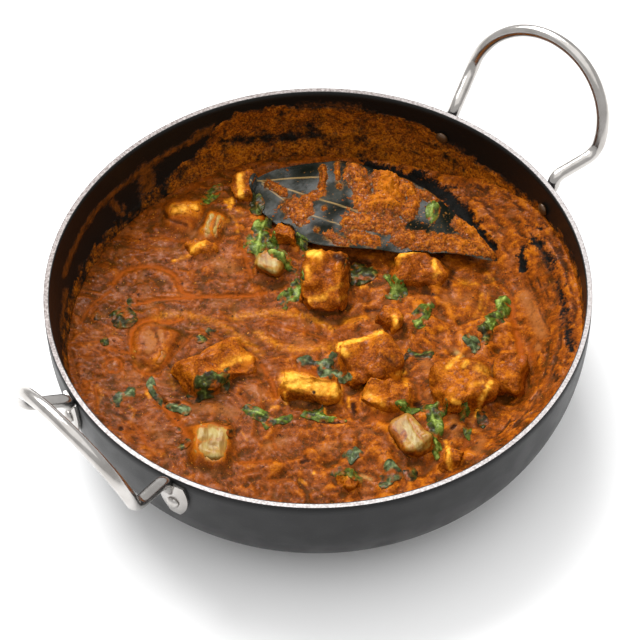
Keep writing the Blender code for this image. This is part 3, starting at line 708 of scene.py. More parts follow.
def turned_mesh(section):
    """The section turned round the pan's axis, hardly out of round at the rim, closed in the middle."""
    radii, heights = np.array(section).T
    turns = np.arange(PAN_STEPS) * 2 * math.pi / PAN_STEPS
    wobble = 0.12 * MM * np.sin(5 * turns) * smooth_step(50 * MM, RIM_HEIGHT, heights)[:, None]
    ring_radii = radii[:, None] + wobble
    z = np.repeat(heights[:, None], PAN_STEPS, axis=1)
    verts = places_at(ring_radii * np.cos(turns), ring_radii * np.sin(turns), z)
    faces = grid_faces(len(section), PAN_STEPS, closed=True)
    last = (len(section) - 1) * PAN_STEPS
    bottom, top = len(verts), len(verts) + 1
    for j in range(PAN_STEPS):
        k = (j + 1) % PAN_STEPS
        faces.append((bottom, k, j))
        faces.append((top, last + j, last + k))
    return np.vstack([verts, [(0, 0, 0), (0, 0, FLOOR)]]), faces


def build_pan():
    """Turned pan: enamel outside, a bare edge, black coating inside."""
    section, first_bare, last_bare = pan_section()
    verts, faces = turned_mesh(section)
    mats = (enamel_material(), rim_material(), coating_material())
    pan = add_mesh("pan_body", verts, faces, mats, ["pan"])
    looks = np.zeros(len(faces), np.int32)
    ring = np.arange((len(section) - 1) * PAN_STEPS) // PAN_STEPS
    looks[:len(ring)] = np.where(ring < first_bare, 0, np.where(ring < last_bare, 1, 2))
    looks[-PAN_STEPS * 2:] = np.tile([0, 2], PAN_STEPS)
    pan.data.polygons.foreach_set("material_index", looks)
    inside = np.zeros(len(verts), bool)
    inside[(last_bare + 2) * PAN_STEPS:-2] = True
    stain = stroke_field(*in_photo(verts), SMEARS, fractal(verts, 5 * MM, 3, 7))
    stain = np.where(inside & (verts[:, 1] > STAIN_FRONT), stain, 0)
    # painted shade on the bare rim, deepest towards its back left
    off = angles_apart(np.degrees(np.arctan2(verts[:, 1], verts[:, 0])), RIM_SHADE_AZIMUTH)
    paint(pan, {"stain": stain, "dull": smooth_step(95, 50, off)})


# ---- handles and rivets ----
SHOULDER_BEND = 6 * MM
FOOT_BEND = 4 * MM
BEND_STEPS = 10
RIVET_HEAD = 3.2 * MM
RIVET_SHANK = 2.2 * MM
RIVET_TALL = 1.9 * MM


def rounded_corner(points, corner, radius):
    here = points[corner]
    before = here + (points[corner - 1] - here).normalized() * radius
    after = here + (points[corner + 1] - here).normalized() * radius
    bend = []
    for i in range(BEND_STEPS + 1):
        t = i / BEND_STEPS
        bend.append(before * (1 - t) ** 2 + here * 2 * t * (1 - t) + after * t * t)
    return points[:corner] + bend + points[corner + 1:]


def loop_arc(lean, steps=60):
    start = -math.asin(LOOP_CENTRE / LOOP_HEIGHT)
    pivot = Vector((LEG_PIVOT_OUT, 0, RIM_HEIGHT))
    turn = Matrix.Identity(4)
    for axis, angle in zip(((0, 1, 0), (1, 0, 0), (0, 0, 1)), lean):
        turn = Matrix.Rotation(math.radians(angle), 4, Vector(axis)) @ turn
    arc = []
    for i in range(steps + 1):
        angle = start + (math.pi - 2 * start) * i / steps
        side = LOOP_HALF_WIDTH * math.cos(angle)
        up = LOOP_CENTRE + LOOP_HEIGHT * math.sin(angle)
        point = Vector((CORNER_OUT + up * math.cos(LOOP_SLOPE), side,
                        RIM_HEIGHT + CORNER_RISE + up * math.sin(LOOP_SLOPE)))
        arc.append(turn @ (point - pivot) + pivot)
    return arc


def wall_point(side, beyond, below):
    height = RIM_HEIGHT - below
    radius = radius_at(OUTER_WALL, min(height, RIM_HEIGHT)) + beyond
    angle = math.asin(side / RIM_RADIUS)
    return Vector((radius * math.cos(angle), radius * math.sin(angle), height))


def wire_path(lean):
    arc = loop_arc(lean)
    ends = []
    for sign in (1, -1):
        foot = wall_point(sign * (RIVET_HALF_SPACING - 1 * MM), GAP + 1.5 * MM, 9 * MM)
        knee = wall_point(sign * LEG_HALF_SPACING, GAP + WIRE_RADIUS + 0.6 * MM, -0.6 * MM)
        ends.append([foot, knee])
    skipped = 3
    points = ends[0] + arc[:1] + arc[skipped:-skipped] + arc[-1:] + ends[1][::-1]
    last = len(points) - 1
    points = rounded_corner(points, last - 2, SHOULDER_BEND)
    points = rounded_corner(points, last - 1 + BEND_STEPS, FOOT_BEND)
    points = rounded_corner(points, 2, SHOULDER_BEND)
    return rounded_corner(points, 1, FOOT_BEND)


def build_tab(sign):
    """Shield-shaped, slightly dished plate round a rivet."""
    rows, across = 26, 10
    layers = []
    for beyond in (GAP, GAP + TAB_THICKNESS):
        verts = []
        for i in range(rows):
            t = i / (rows - 1)
            below = RIVET_DROP + TAB_BELOW - t * (TAB_ABOVE + TAB_BELOW)
            half = TAB_HALF_WIDTH * math.sin(math.pi * (0.06 + 0.70 * t)) ** 0.8
            for j in range(across + 1):
                k = 2 * j / across - 1
                edge = max(abs(k), abs(2 * t - 1)) ** 8
                swell = 0.0 if beyond == GAP else -0.7 * MM * edge
                verts.append(wall_point(sign * RIVET_HALF_SPACING + k * half, beyond + swell, below))
        layers.append(verts)
    faces = grid_faces(rows, across + 1, turned=True)
    edges = [(b, a) for a, b in grid_border(rows, across + 1)]
    return layers[0] + layers[1], two_sided(faces, len(layers[0]), edges)


def swept_wire(name, path):
    """A round wire along a path, thinner at its ends."""
    curve = bpy.data.curves.new(name + "_wire", "CURVE")
    curve.dimensions = "3D"
    curve.bevel_depth = WIRE_RADIUS
    curve.bevel_resolution = 7
    curve.use_fill_caps = True
    spline = curve.splines.new("POLY")
    spline.points.add(len(path) - 1)
    for point, place in zip(spline.points, path):
        point.co = (*place, 1)
    for end in (0, -1):
        spline.points[end].radius = 0.45
    wire = link(name + "_wire", curve)
    graph = bpy.context.evaluated_depsgraph_get()
    bm = bmesh.new()
    bm.from_mesh(wire.evaluated_get(graph).to_mesh())
    bpy.data.objects.remove(wire)
    return bm


def build_handle(name, azimuth, lean, steel):
    """The bent wire and its two flattened ends, as one mesh."""
    bm = swept_wire(name, wire_path(lean))
    for sign in (1, -1):
        verts, faces = build_tab(sign)
        made = [bm.verts.new(v) for v in verts]
        for face in faces:
            bm.faces.new([made[i] for i in face])
    bmesh.ops.recalc_face_normals(bm, faces=bm.faces)
    bm.transform(Matrix.Rotation(math.radians(azimuth), 4, "Z"))
    mesh = bpy.data.meshes.new(name + "_steel")
    bm.to_mesh(mesh)
    bm.free()
    add_piece(mesh, [steel], [name])
    mesh.set_sharp_from_angle(angle=math.radians(42))


def rivet_section():
    """A rivet's outline along its own axis: domed head outside, shank, domed head inside."""
    outside = GAP + TAB_THICKNESS + GAP
    inside = -(WALL + 2 * GAP)
    seat = 0.15 * MM
    steps = 12
    section = []
    for i in range(steps + 1):
        angle = (1 - i / steps) * math.pi / 2
        section.append((RIVET_HEAD * math.cos(angle), outside + RIVET_TALL * math.sin(angle)))
    section += [(RIVET_HEAD * 0.98, outside - seat), (RIVET_SHANK, outside - seat),
                (RIVET_SHANK, inside + seat), (RIVET_HEAD * 0.98, inside + seat)]
    for i in range(steps + 1):
        angle = i / steps * math.pi / 2
        section.append((RIVET_HEAD * math.cos(angle), inside - RIVET_TALL * math.sin(angle)))
    return section


def build_rivets(mat):
    section = rivet_section()
    sides = 36
    turns = np.arange(sides) * 2 * math.pi / sides
    local = np.array([(r * math.cos(a), r * math.sin(a), z) for r, z in section for a in turns])
    faces = grid_faces(len(section), sides, closed=True, turned=True)
    height = RIM_HEIGHT - RIVET_DROP
    radius = radius_at(OUTER_WALL, height)
    for name, middle, _ in HANDLES:
        for side, sign in (("a", -1), ("b", 1)):
            azimuth = math.radians(middle) + sign * math.asin(RIVET_HALF_SPACING / RIM_RADIUS)
            place = Vector((radius * math.cos(azimuth), radius * math.sin(azimuth), height))
            turn = Matrix.Rotation(azimuth, 4, "Z") @ Matrix.Rotation(math.pi / 2, 4, "Y")
            verts = np.array([Matrix.Translation(place) @ turn @ Vector(v) for v in local])
            node = name.replace("handle", "rivet") + "_" + side
            rivet = add_mesh(node + "_head", verts, faces, [mat], [node])
            paint(rivet, {"inside": local[:, 2] < 0})


# ---- marks on the food ----
# for each kind, which has one colour and one relief: half width (px), strength and pixels of every stroke
MARKS = {
    "crease": (
        (2.0, 0.8, (81, 322), (87, 311), (97, 300), (110, 291)),
        (1.8, 0.6, (92, 312), (100, 302), (112, 297)),
        (2.2, 0.9, (130, 303), (142, 303), (156, 299), (184, 297), (207, 296), (247, 295), (266, 292)),
        (2.6, 0.9, (114, 282), (123, 272), (135, 267), (154, 266), (167, 270), (177, 278), (181, 290),
         (194, 296)),
        (1.5, 0.4, (131, 286), (140, 280), (152, 279)),
        (3.0, 1.0, (132, 352), (131, 340), (134, 328), (142, 321), (155, 319), (168, 322), (181, 318)),
        (2.0, 0.7, (133, 362), (140, 371), (152, 373), (163, 366), (178, 350), (191, 335)),
        (0.9, 0.7, (409, 419), (417, 433), (428, 446)), (0.8, 0.5, (404, 424), (411, 438), (418, 452)),
        (2.5, 0.7, (105, 346), (118, 350), (131, 353)), (1.8, 0.6, (80, 356), (92, 357), (105, 352)),
        (2.2, 0.5, (74, 344), (86, 341), (100, 341)),
        (2.0, 0.8, (106, 366), (107, 361), (113, 358), (120, 360), (121, 367), (116, 372), (109, 371)),
        (1.5, 0.8, (81, 384), (84, 380), (88, 383), (86, 388), (82, 387)),
        (2.0, 0.5, (72, 332), (70, 346), (73, 360), (77, 376), (84, 392)),
        (2.2, 0.7, (95, 386), (98, 400), (97, 412)),
        (2.5, 0.7, (133, 424), (142, 433), (146, 444), (156, 455)),
        (2.0, 0.6, (124, 432), (136, 431), (143, 440)),
        (4.0, 1.0, (163, 404), (172, 414), (181, 427), (190, 436)),
        (1.6, 0.7, (181, 341), (169, 352), (163, 364), (158, 376)),
        (1.4, 0.5, (190, 346), (186, 360), (183, 374), (181, 388)), (4.0, 0.7, (238, 372), (248, 366)),
        (1.8, 0.5, (200, 350), (216, 352), (236, 350)), (3.0, 0.7, (172, 216), (186, 218), (196, 222)),
        (3.0, 0.6, (247, 180), (250, 190)), (3.0, 0.7, (243, 245), (247, 262), (252, 276)),
        (2.5, 0.6, (160, 234), (175, 240), (188, 238)),
        (3.0, 0.5, (160, 205), (175, 198), (200, 182), (215, 172)),
        (2.0, 0.5, (214, 247), (220, 242), (224, 236)), (2.0, 0.6, (200, 328), (222, 338), (245, 352)),
        (2.0, 0.6, (270, 322), (300, 330), (325, 338)), (3.0, 0.8, (262, 365), (272, 382), (276, 396)),
        (2.5, 0.8, (285, 370), (305, 370), (325, 376), (345, 385)), (8.0, 0.5, (358, 355), (368, 352)),
        (9.0, 0.4, (322, 272), (330, 268)),
        (4.0, 1.0, (510, 300), (513, 318), (516, 334), (521, 352), (524, 372), (523, 392)),
        (4.0, 0.6, (530, 347), (534, 362), (536, 380)), (3.0, 0.6, (418, 385), (420, 398)),
        (3.0, 0.6, (466, 440), (462, 455)), (2.0, 0.8, (240, 462), (255, 461), (271, 460)),
        (1.8, 0.8, (244, 473), (258, 470)), (1.8, 0.6, (265, 480), (290, 479)),
        (2.2, 0.7, (272, 438), (276, 448)), (2.0, 0.5, (230, 455), (236, 465)),
        (6.0, 0.6, (372, 418), (390, 415)),
    ),
    "golden": (
        (4.0, 0.35, (133, 358), (140, 366), (151, 369), (160, 362), (164, 352)), (2.6, 1.0, (403, 434)),
        (4.0, 0.7, (393, 430), (399, 446)), (3.0, 0.4, (153, 338)),
        (3.0, 0.4, (97, 386), (101, 393), (99, 402)), (2.5, 0.4, (112, 334), (117, 330)),
        (2.5, 0.45, (128, 405), (134, 412), (131, 422)), (3.0, 0.35, (140, 444), (152, 450), (165, 455)),
        (3.0, 0.8, (147, 393), (149, 397)), (6.0, 0.35, (168, 372), (174, 388)),
        (4.0, 0.8, (222, 367), (236, 361), (250, 357)), (5.0, 0.5, (228, 360), (246, 355)),
        (5.0, 0.7, (174, 210), (186, 208)), (3.0, 0.9, (190, 206), (196, 208)),
        (3.4, 1.2, (240, 176), (240, 186), (241, 196)), (3.0, 0.9, (226, 202), (232, 200), (230, 208)),
        (2.0, 0.6, (236, 210), (243, 213)), (3.0, 0.5, (222, 226), (228, 220)),
        (3.0, 0.9, (192, 250), (196, 246), (204, 243)), (2.5, 0.6, (190, 255), (180, 259), (173, 261)),
        (2.5, 0.5, (230, 214), (236, 222), (238, 232)),
        (6.0, 0.45, (154, 317), (181, 314), (214, 322), (235, 334), (261, 354)),
        (5.5, 0.5, (233, 317), (260, 314), (283, 313), (310, 318), (333, 330)),
        (6.0, 0.5, (257, 333), (283, 347), (310, 350), (335, 345)), (2.5, 0.7, (284, 392), (286, 404)),
        (3.0, 0.7, (272, 408), (277, 407)), (10.0, 1.4, (289, 380), (304, 383)),
        (8.0, 1.3, (318, 387), (334, 390)), (3.0, 0.8, (340, 392)),
        (2.2, 1.3, (338, 350), (339, 345), (350, 342), (366, 338), (382, 331)),
        (4.0, 1.0, (342, 350), (346, 354)), (5.0, 1.3, (309, 252), (318, 254)),
        (4.0, 0.7, (307, 266), (309, 280)), (4.5, 0.8, (310, 300), (318, 298), (326, 297)),
        (3.5, 0.6, (328, 291), (335, 288), (342, 285)), (3.0, 0.6, (338, 300), (345, 296)),
        (2.8, 1.1, (399, 256), (408, 252), (418, 250)), (4.0, 0.5, (392, 264), (398, 262)),
        (2.4, 1.6, (434, 261), (435, 268)), (4.0, 0.6, (434, 276), (440, 272)),
        (3.0, 0.9, (395, 317), (396, 328)), (3.0, 0.5, (402, 318)), (5.0, 0.5, (345, 322), (365, 318)),
        (2.4, 0.8, (361, 287), (367, 287)), (5.0, 0.5, (460, 282), (476, 284)),
        (3.0, 0.5, (487, 272), (494, 284)), (3.4, 0.55, (482, 294), (480, 306), (475, 316)),
        (2.4, 0.45, (488, 294), (486, 306), (482, 316)), (2.8, 0.9, (441, 329)),
        (4.0, 0.8, (398, 374), (404, 372)), (3.0, 0.7, (404, 380), (407, 384)),
        (3.0, 0.8, (447, 368), (454, 361), (461, 355)), (2.6, 1.0, (464, 366), (467, 362)),
        (6.0, 0.5, (478, 368), (488, 372)), (3.2, 0.95, (491, 382), (486, 392), (480, 404), (476, 416)),
        (3.0, 0.6, (470, 386), (482, 382)), (3.0, 1.0, (453, 401), (459, 403)),
        (3.0, 0.8, (446, 442), (449, 455), (450, 468)), (3.0, 0.8, (314, 473)),
        (2.2, 0.8, (324, 409), (325, 415)), (2.5, 0.6, (300, 480), (306, 484)),
        (2.0, 0.5, (242, 432), (247, 440)), (2.4, 0.9, (348, 398), (349, 406)),
        (6.0, 0.6, (366, 394), (380, 402)), (3.0, 0.6, (360, 388)), (4.0, 0.7, (346, 476)),
    ),
    # pale: painted sheen and highlights on the gravy's flats
    "pale": (
        (6.5, 0.8, (147, 336), (152, 346)), (4.0, 1.2, (149, 333), (153, 342), (149, 350)),
        (3.0, 1.2, (160, 332), (163, 341)), (2.2, 0.7, (114, 365)), (8.0, 0.4, (100, 330), (90, 345)),
        (9.0, 0.4, (120, 380), (135, 375)), (8.0, 0.4, (145, 290), (150, 310)),
        (9.0, 0.4, (215, 303), (235, 306)), (8.0, 0.6, (200, 406), (235, 413)),
        (8.0, 0.5, (150, 425), (165, 440)), (2.4, 0.8, (212, 216), (208, 225), (206, 236)),
        (2.0, 0.6, (217, 217), (213, 227)), (8.0, 0.7, (216, 262), (232, 268)),
        (5.0, 0.5, (190, 232), (200, 238)), (5.0, 0.4, (160, 250), (175, 252)),
        (7.0, 0.5, (250, 388), (262, 396)), (6.0, 0.5, (294, 400), (306, 402)),
        (7.0, 0.5, (296, 340), (310, 345)), (5.0, 0.5, (398, 276), (412, 278)),
        (4.0, 0.6, (372, 316), (378, 326)), (4.0, 0.5, (486, 290), (490, 294)),
        (6.0, 0.5, (446, 302), (470, 297)), (8.0, 0.8, (524, 296), (534, 315), (541, 333)),
        (5.0, 0.8, (538, 347)), (8.0, 0.6, (425, 362), (438, 380)), (7.0, 0.6, (430, 394), (446, 398)),
        (5.0, 0.5, (452, 350), (468, 355)), (6.0, 0.7, (452, 414), (456, 435)),
        (6.0, 0.6, (482, 440), (478, 452)), (7.0, 0.6, (268, 446), (284, 440)),
        (6.0, 0.5, (320, 450), (335, 445)),
    ),
    "clear": (
        (6.5, 0.9, (204, 434), (212, 432), (220, 434)), (6.5, 0.85, (206, 446), (220, 445)),
        (4.5, 0.75, (208, 457), (218, 455)), (5.0, 1.0, (406, 424), (413, 437), (421, 449)),
        (2.6, 1.0, (258, 257), (266, 262), (276, 264)), (2.2, 0.9, (259, 265), (266, 270), (275, 272)),
        (2.4, 0.6, (212, 216), (208, 225), (207, 236)), (2.0, 0.5, (219, 216), (215, 227), (216, 236)),
        (3.0, 0.7, (456, 352), (462, 357)), (3.0, 0.5, (362, 476), (372, 480)),
    ),
    # dark: mostly painted shade, in crevices, round the chunks and under the bay leaf; a few are dark specks
    # of spice
    "dark": (
        (2.2, 1.2, (314, 392)), (2.2, 0.7, (230, 437), (237, 430)), (2.5, 0.5, (116, 414), (127, 418)),
        (2.2, 0.9, (121, 428)), (1.6, 0.7, (110, 406)), (1.4, 1.0, (162, 401), (171, 404), (179, 402)),
        (1.6, 1.0, (170, 366)), (1.3, 0.8, (177, 396)), (1.6, 0.9, (241, 393)),
        (3.0, 0.6, (232, 388), (234, 380)), (1.6, 0.5, (211, 345), (216, 345)),
        (2.5, 0.5, (164, 212), (170, 219), (186, 224)), (3.0, 0.5, (376, 357), (384, 352)),
        (3.5, 0.8, (386, 358), (392, 362)), (1.8, 1.0, (318, 290)), (2.0, 0.5, (322, 310), (334, 307)),
        (6.0, 0.9, (336, 256), (350, 262), (366, 264)), (3.0, 0.6, (424, 292), (436, 294)),
        (4.0, 0.7, (448, 284), (452, 272)), (2.2, 0.6, (366, 310), (380, 310)),
        (9.0, 0.3, (545, 262), (563, 305), (574, 350)), (6.0, 0.3, (520, 262), (528, 285), (540, 300)),
        (1.8, 0.6, (430, 396)), (2.0, 0.5, (441, 355)), (2.2, 1.0, (452, 428), (455, 425)),
        (2.0, 0.5, (437, 335)), (4.0, 0.8, (416, 404), (422, 406)), (4.0, 0.7, (478, 424), (486, 420)),
        (4.0, 0.6, (396, 356), (394, 366)), (2.5, 0.8, (302, 461), (307, 459)),
        (1.5, 1.0, (318, 421), (332, 422), (345, 421)), (3.0, 1.0, (354, 411), (353, 403)),
    ),
}
# how far each kind stands out of the surface (mm at full strength)
MARK_RELIEF = {"crease": -0.85, "golden": 0.25, "pale": 0.25, "clear": 0.2, "dark": -0.9}


def stroke_field(px, py, strokes, jitter):
    """Highest strength at pixels (px, py) of strokes (half width, strength, points...)."""
    field = np.zeros(len(px))
    for half, strength, *points in strokes:
        corners = np.array(points, float)
        low, high = corners.min(axis=0) - 3 * half, corners.max(axis=0) + 3 * half
        near = np.nonzero((px > low[0]) & (px < high[0]) & (py > low[1]) & (py < high[1]))[0]
        if len(points) > 1:
            away = line_distance(px[near], py[near], rounded_line(points, 4))
        else:
            away = np.hypot(px[near] - points[0][0], py[near] - points[0][1])
        away = np.maximum(away + jitter[near] * min(half, 3.0) * 0.45, 0)
        field[near] = np.maximum(field[near], strength * np.exp(-(away / half) ** 2))
    return field


def marks_at(places, jitter):
    """Strength of each kind of mark at places (N, 3); jitter roughens the strokes' edges."""
    px, py = in_photo(places)
    return {kind: stroke_field(px, py, strokes, jitter) for kind, strokes in MARKS.items()}


# ---- chunks ----
ROUNDING = 5


def worn_copy(node, cuts):
    """The solid's mesh as evenly divided quads, welded."""
    bm = bmesh.new()
    bm.from_mesh(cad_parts[node].data)
    bmesh.ops.remove_doubles(bm, verts=bm.verts, dist=0.01 * MM)
    bmesh.ops.join_triangles(bm, faces=bm.faces, angle_face_threshold=1.2, angle_shape_threshold=1.6)
    axes = {"use_axis_x": True, "use_axis_y": True, "use_axis_z": True}
    for _ in range(cuts):
        bmesh.ops.subdivide_edges(bm, edges=bm.edges, cuts=1, use_grid_fill=True, smooth=0.55)
        bmesh.ops.smooth_vert(bm, verts=bm.verts, factor=0.4, **axes)
    for _ in range(ROUNDING):
        bmesh.ops.smooth_vert(bm, verts=bm.verts, factor=0.5, **axes)
    bmesh.ops.recalc_face_normals(bm, faces=bm.faces)
    return bm


def chunk_piece(node, seed, mat, lumps, crumbs):
    """A soft block knocked about by noise; lumps and crumbs are depths in metres."""
    bm = worn_copy(node, 3)
    bm.normal_update()
    places = np.array([v.co for v in bm.verts])
    normals = np.array([v.normal for v in bm.verts])
    relief = billow(places, 8 * MM, 2, seed)
    broad = fractal(places, 16 * MM, 2, seed + 3)
    push = lumps * (0.9 * relief + 0.8 * broad) + crumbs * fractal(places, 3.2 * MM, 3, seed + 5, 0.6)
    warp = np.stack([fractal(places, 13 * MM, 2, seed + 60 + axis) for axis in range(3)], axis=1)
    places = places + normals * (push[:, None] + 0.5 * lumps) + warp * 4.0 * lumps
    fields = marks_at(places, fractal(places, 3 * MM, 2, seed + 9))
    rise = sum(MARK_RELIEF[kind] * field for kind, field in fields.items())
    places[:, 2] += rise * MM * 0.7
    faces = [[v.index for v in face.verts] for face in bm.faces]
    bm.free()
    obj = add_mesh(node + "_chunk", places, faces, [mat], [node])
    foot = smooth_step(-1.5 * MM, -7 * MM, places[:, 2] - places[:, 2].max())
    paint(obj, {"relief": np.clip(relief, -1, 1), "foot": foot, **fields})
    return obj


# ---- gravy ----
# pieces that the gravy covers with a thin film
VEILED = ("onion_left", "onion_front_left", "onion_back_left", "paneer_far_left")
# share of lumps, middle and half sizes (mm) of the lumpy areas; the wet front is given alike
LUMPY_AREAS = ((0.75, 60, -5, 65, 75), (0.75, 15, -85, 75, 35), (0.45, -35, 70, 30, 30))
WET_FRONT = (5, -95, 60, 30)
# distances from the middle between which the gravy thins out on the wall: dragged, rough, shaded
DRAGGED = (100 * MM, 108 * MM)
ROUGHENED = (90 * MM, 100 * MM)
SHADED = (98 * MM, 117 * MM)
# the right-hand part of the wall, as spans of x
DRAGGED_SIDE = (30 * MM, 90 * MM)
ROUGH_SIDE = (-20 * MM, 50 * MM)
SHADED_SIDE = (20 * MM, 70 * MM)


def gravy_height(x, y):
    height = np.full(x.shape, GRAVY_LEVEL)
    for mound_x, mound_y, spread, rise in MOUNDS:
        away = np.hypot(x / MM - mound_x, y / MM - mound_y) / spread
        height += rise * MM * np.exp(-away * away)
    off = angles_apart(np.degrees(np.arctan2(y, x)), CLIMB_AZIMUTH)
    share = 1 - smooth_step(CLIMB_SPREAD * 0.6, CLIMB_SPREAD * 1.3, off)
    climb = smooth_step(CLIMB_FOOT, RIM_RADIUS, np.hypot(x, y)) ** 0.8
    return height + share * WALL_CLIMB * climb


def disc_grid(count):
    """A square grid bent into a unit disc, its cells nearly even."""
    line = np.linspace(-1, 1, count)
    u, v = np.meshgrid(line, line, indexing="ij")
    wide = np.abs(u) > np.abs(v)
    radius = np.where(wide, u, v)
    other = np.where(wide, v, u)
    ratio = np.divide(other, radius, out=np.zeros_like(u), where=radius != 0)
    angle = np.where(wide, math.pi / 4 * ratio, math.pi / 2 - math.pi / 4 * ratio)
    return radius * np.cos(angle), radius * np.sin(angle)


def edge_radius(azimuth):
    """Where the gravy meets the wall."""
    height = np.full(azimuth.shape, GRAVY_LEVEL)
    for _ in range(6):
        radius = radius_at(INNER_WALL, height) - 0.1 * MM
        height = gravy_height(radius * np.cos(azimuth), radius * np.sin(azimuth))
    return radius


def blurred(field, times):
    for _ in range(times):
        for axis in (0, 1):
            padded = np.pad(field, [(1, 1) if a == axis else (0, 0) for a in (0, 1)], mode="edge")
            low = padded.take(range(0, field.shape[axis]), axis)
            high = padded.take(range(2, field.shape[axis] + 2), axis)
            field = 0.25 * low + 0.5 * field + 0.25 * high
    return field


def skirts(field, spacing, slope, reach):
    """Let heights fall away from their tops at a slope, like a meniscus round each chunk."""
    count = max(int(reach / spacing), 1)
    for _ in range(count):
        for axis in (0, 1):
            for shift in (1, -1):
                field = np.maximum(field, np.roll(field, shift, axis) - slope * spacing)
        for shift in ((1, 1), (1, -1), (-1, 1), (-1, -1)):
            field = np.maximum(field, np.roll(field, shift, (0, 1)) - slope * spacing * 1.41)
    return field


def worn_back(field, times):
    """Each place takes the lowest height next to it, so tops shrink from their edges."""
    for _ in range(times):
        for axis in (0, 1):
            for shift in (1, -1):
                field = np.minimum(field, np.roll(field, shift, axis))
    return field


def smooth_highest(a, b, blend):
    """The higher of two surfaces, with a fillet of about the given size between them."""
    mixed = np.clip(0.5 + 0.5 * (a - b) / blend, 0, 1)
    return b * (1 - mixed) + a * mixed + blend * mixed * (1 - mixed)


def around(x, y, middle_x, middle_y, half_x, half_y):
    """1 at the middle of an area given in millimetres, and fading to 0 round it."""
    across = (x - middle_x / 1000) / (half_x / 1000)
    along = (y - middle_y / 1000) / (half_y / 1000)
    return np.exp(-(across ** 2 + along ** 2))


def lumpiness(x, y):
    """Where the gravy stands in lumps (1) and where it lies in smooth flows (0)."""
    lumpy = 0.20
    for share, *area in LUMPY_AREAS:
        lumpy = lumpy + share * around(x, y, *area)
    return np.clip(lumpy, 0, 1)


def gravy_relief(flat, lumpy):
    """Lumps, flows, ripples and grain (mm), with the lumps, the folds and the grain by themselves."""
    def field(places, *settings):
        return fractal(places, *settings).reshape(lumpy.shape)

    warp = np.stack([fractal(flat, 26 * MM, 2, 3), fractal(flat, 26 * MM, 2, 4), np.zeros(len(flat))], axis=1)
    bent = flat + warp * 6 * MM
    lumps = 0.35 * billow(bent, 12 * MM, 1, 11).reshape(lumpy.shape) + field(bent, 9 * MM, 3, 12, 0.36)
    broad = field(flat, 17 * MM, 2, 13)
    flows = field(bent * (0.75, 1.5, 1), 19 * MM, 2, 21, 0.35)
    ripples = field(bent * (0.85, 1.3, 1), 6 * MM, 3, 27, 0.6)
    grain = field(flat, 2.8 * MM, 2, 41)
    detail = lumpy * (2.1 * lumps + 1.6 * broad) + (1.1 - lumpy) * (1.1 * flows + 0.60 * ripples)
    detail += (0.12 + 0.20 * lumpy) * grain
    folds = np.exp(-(field(bent * (0.8, 1.3, 1), 15 * MM, 3, 33, 0.5) / 0.045) ** 2)
    folds *= smooth_step(-0.1, 0.5, field(flat, 24 * MM, 2, 37)) * 0.75
    return detail, lumps, folds, grain


def over_chunks(height, x, y, flat, lumps, chunks):
    """The gravy drawn up and partly over what stands in it: its height, the share that
    lies over a chunk, and the chunks' own tops."""
    spacing = 2 * 121 * MM / GRAVY_GRID
    shift = [1.2 * MM * fractal(flat, 6 * MM, 2, 47 + axis).reshape(x.shape) for axis in (0, 1)]
    tops = heights_over(tree_of(*chunks), x + shift[0], y + shift[1])
    covered = smooth_step(-0.5, 0.5, fractal(flat, 7 * MM, 3, 51).reshape(x.shape))
    crumbs = fractal(flat, 4.5 * MM, 3, 53, 0.65).reshape(x.shape)
    sink = -0.10 + 1.5 * smooth_step(0.65, 1.0, covered) - 0.75 * crumbs - 0.3 * lumps
    drape = worn_back(tops, 2) - sink * MM
    foot = skirts(np.minimum(tops, height + 1.8 * MM), spacing, 0.8, 4 * MM) - 0.3 * MM
    over = smooth_step(0, 2.5 * MM, drape - height)
    height = smooth_highest(blurred(foot, 1), height, 1.0 * MM)
    height = smooth_highest(drape, height, 0.5 * MM)
    veiled = heights_over(tree_of(*(chunk for chunk in chunks if chunk.name[:-6] in VEILED)), x, y)
    veil = blurred(skirts(veiled, spacing, 0.8, 6 * MM), 4) + 0.4 * MM
    return smooth_highest(veil, height, 2.0 * MM), over, tops


def gravy_marks(places, along, x, away, grain, folds):
    """Each kind of mark on the gravy: the strokes, the folds, and streaks where it thins out on the wall."""
    fields = {kind: field.reshape(x.shape) for kind, field in marks_at(places, grain.ravel()).items()}
    fields["crease"] = np.maximum(fields["crease"], folds)
    drag = fractal(along, 3.2 * MM, 3, 57, 0.6).reshape(x.shape)
    drag *= smooth_step(*DRAGGED, away) * smooth_step(*DRAGGED_SIDE, x)
    fields["golden"] = np.maximum(fields["golden"], 0.28 * smooth_step(0.15, 0.7, drag))
    fields["dark"] = np.maximum(fields["dark"], 0.55 * smooth_step(0.10, 0.6, -drag))
    return fields


def let_down(height, away, places, flat):
    """The gravy let down towards the wall where that shows bare, and how bare it is there."""
    torn = 2.4 * fractal(flat, 6 * MM, 4, 59, 0.65)
    px, py = in_photo(places)
    gap = stroke_field(px, py, gap_behind_leaf(), torn).reshape(away.shape)
    bare = np.maximum(stroke_field(px, py, BARE_WALL, torn).reshape(away.shape), gap)
    hollow = 0.35 * smooth_step(0.3, 0.9, bare) + 0.65 * smooth_step(0.4, 1.2, gap)
    sunk = wall_height_at(away) + 0.4 * MM
    return height * (1 - hollow) + np.minimum(np.maximum(height - 1.3 * MM, sunk), height) * hollow, bare


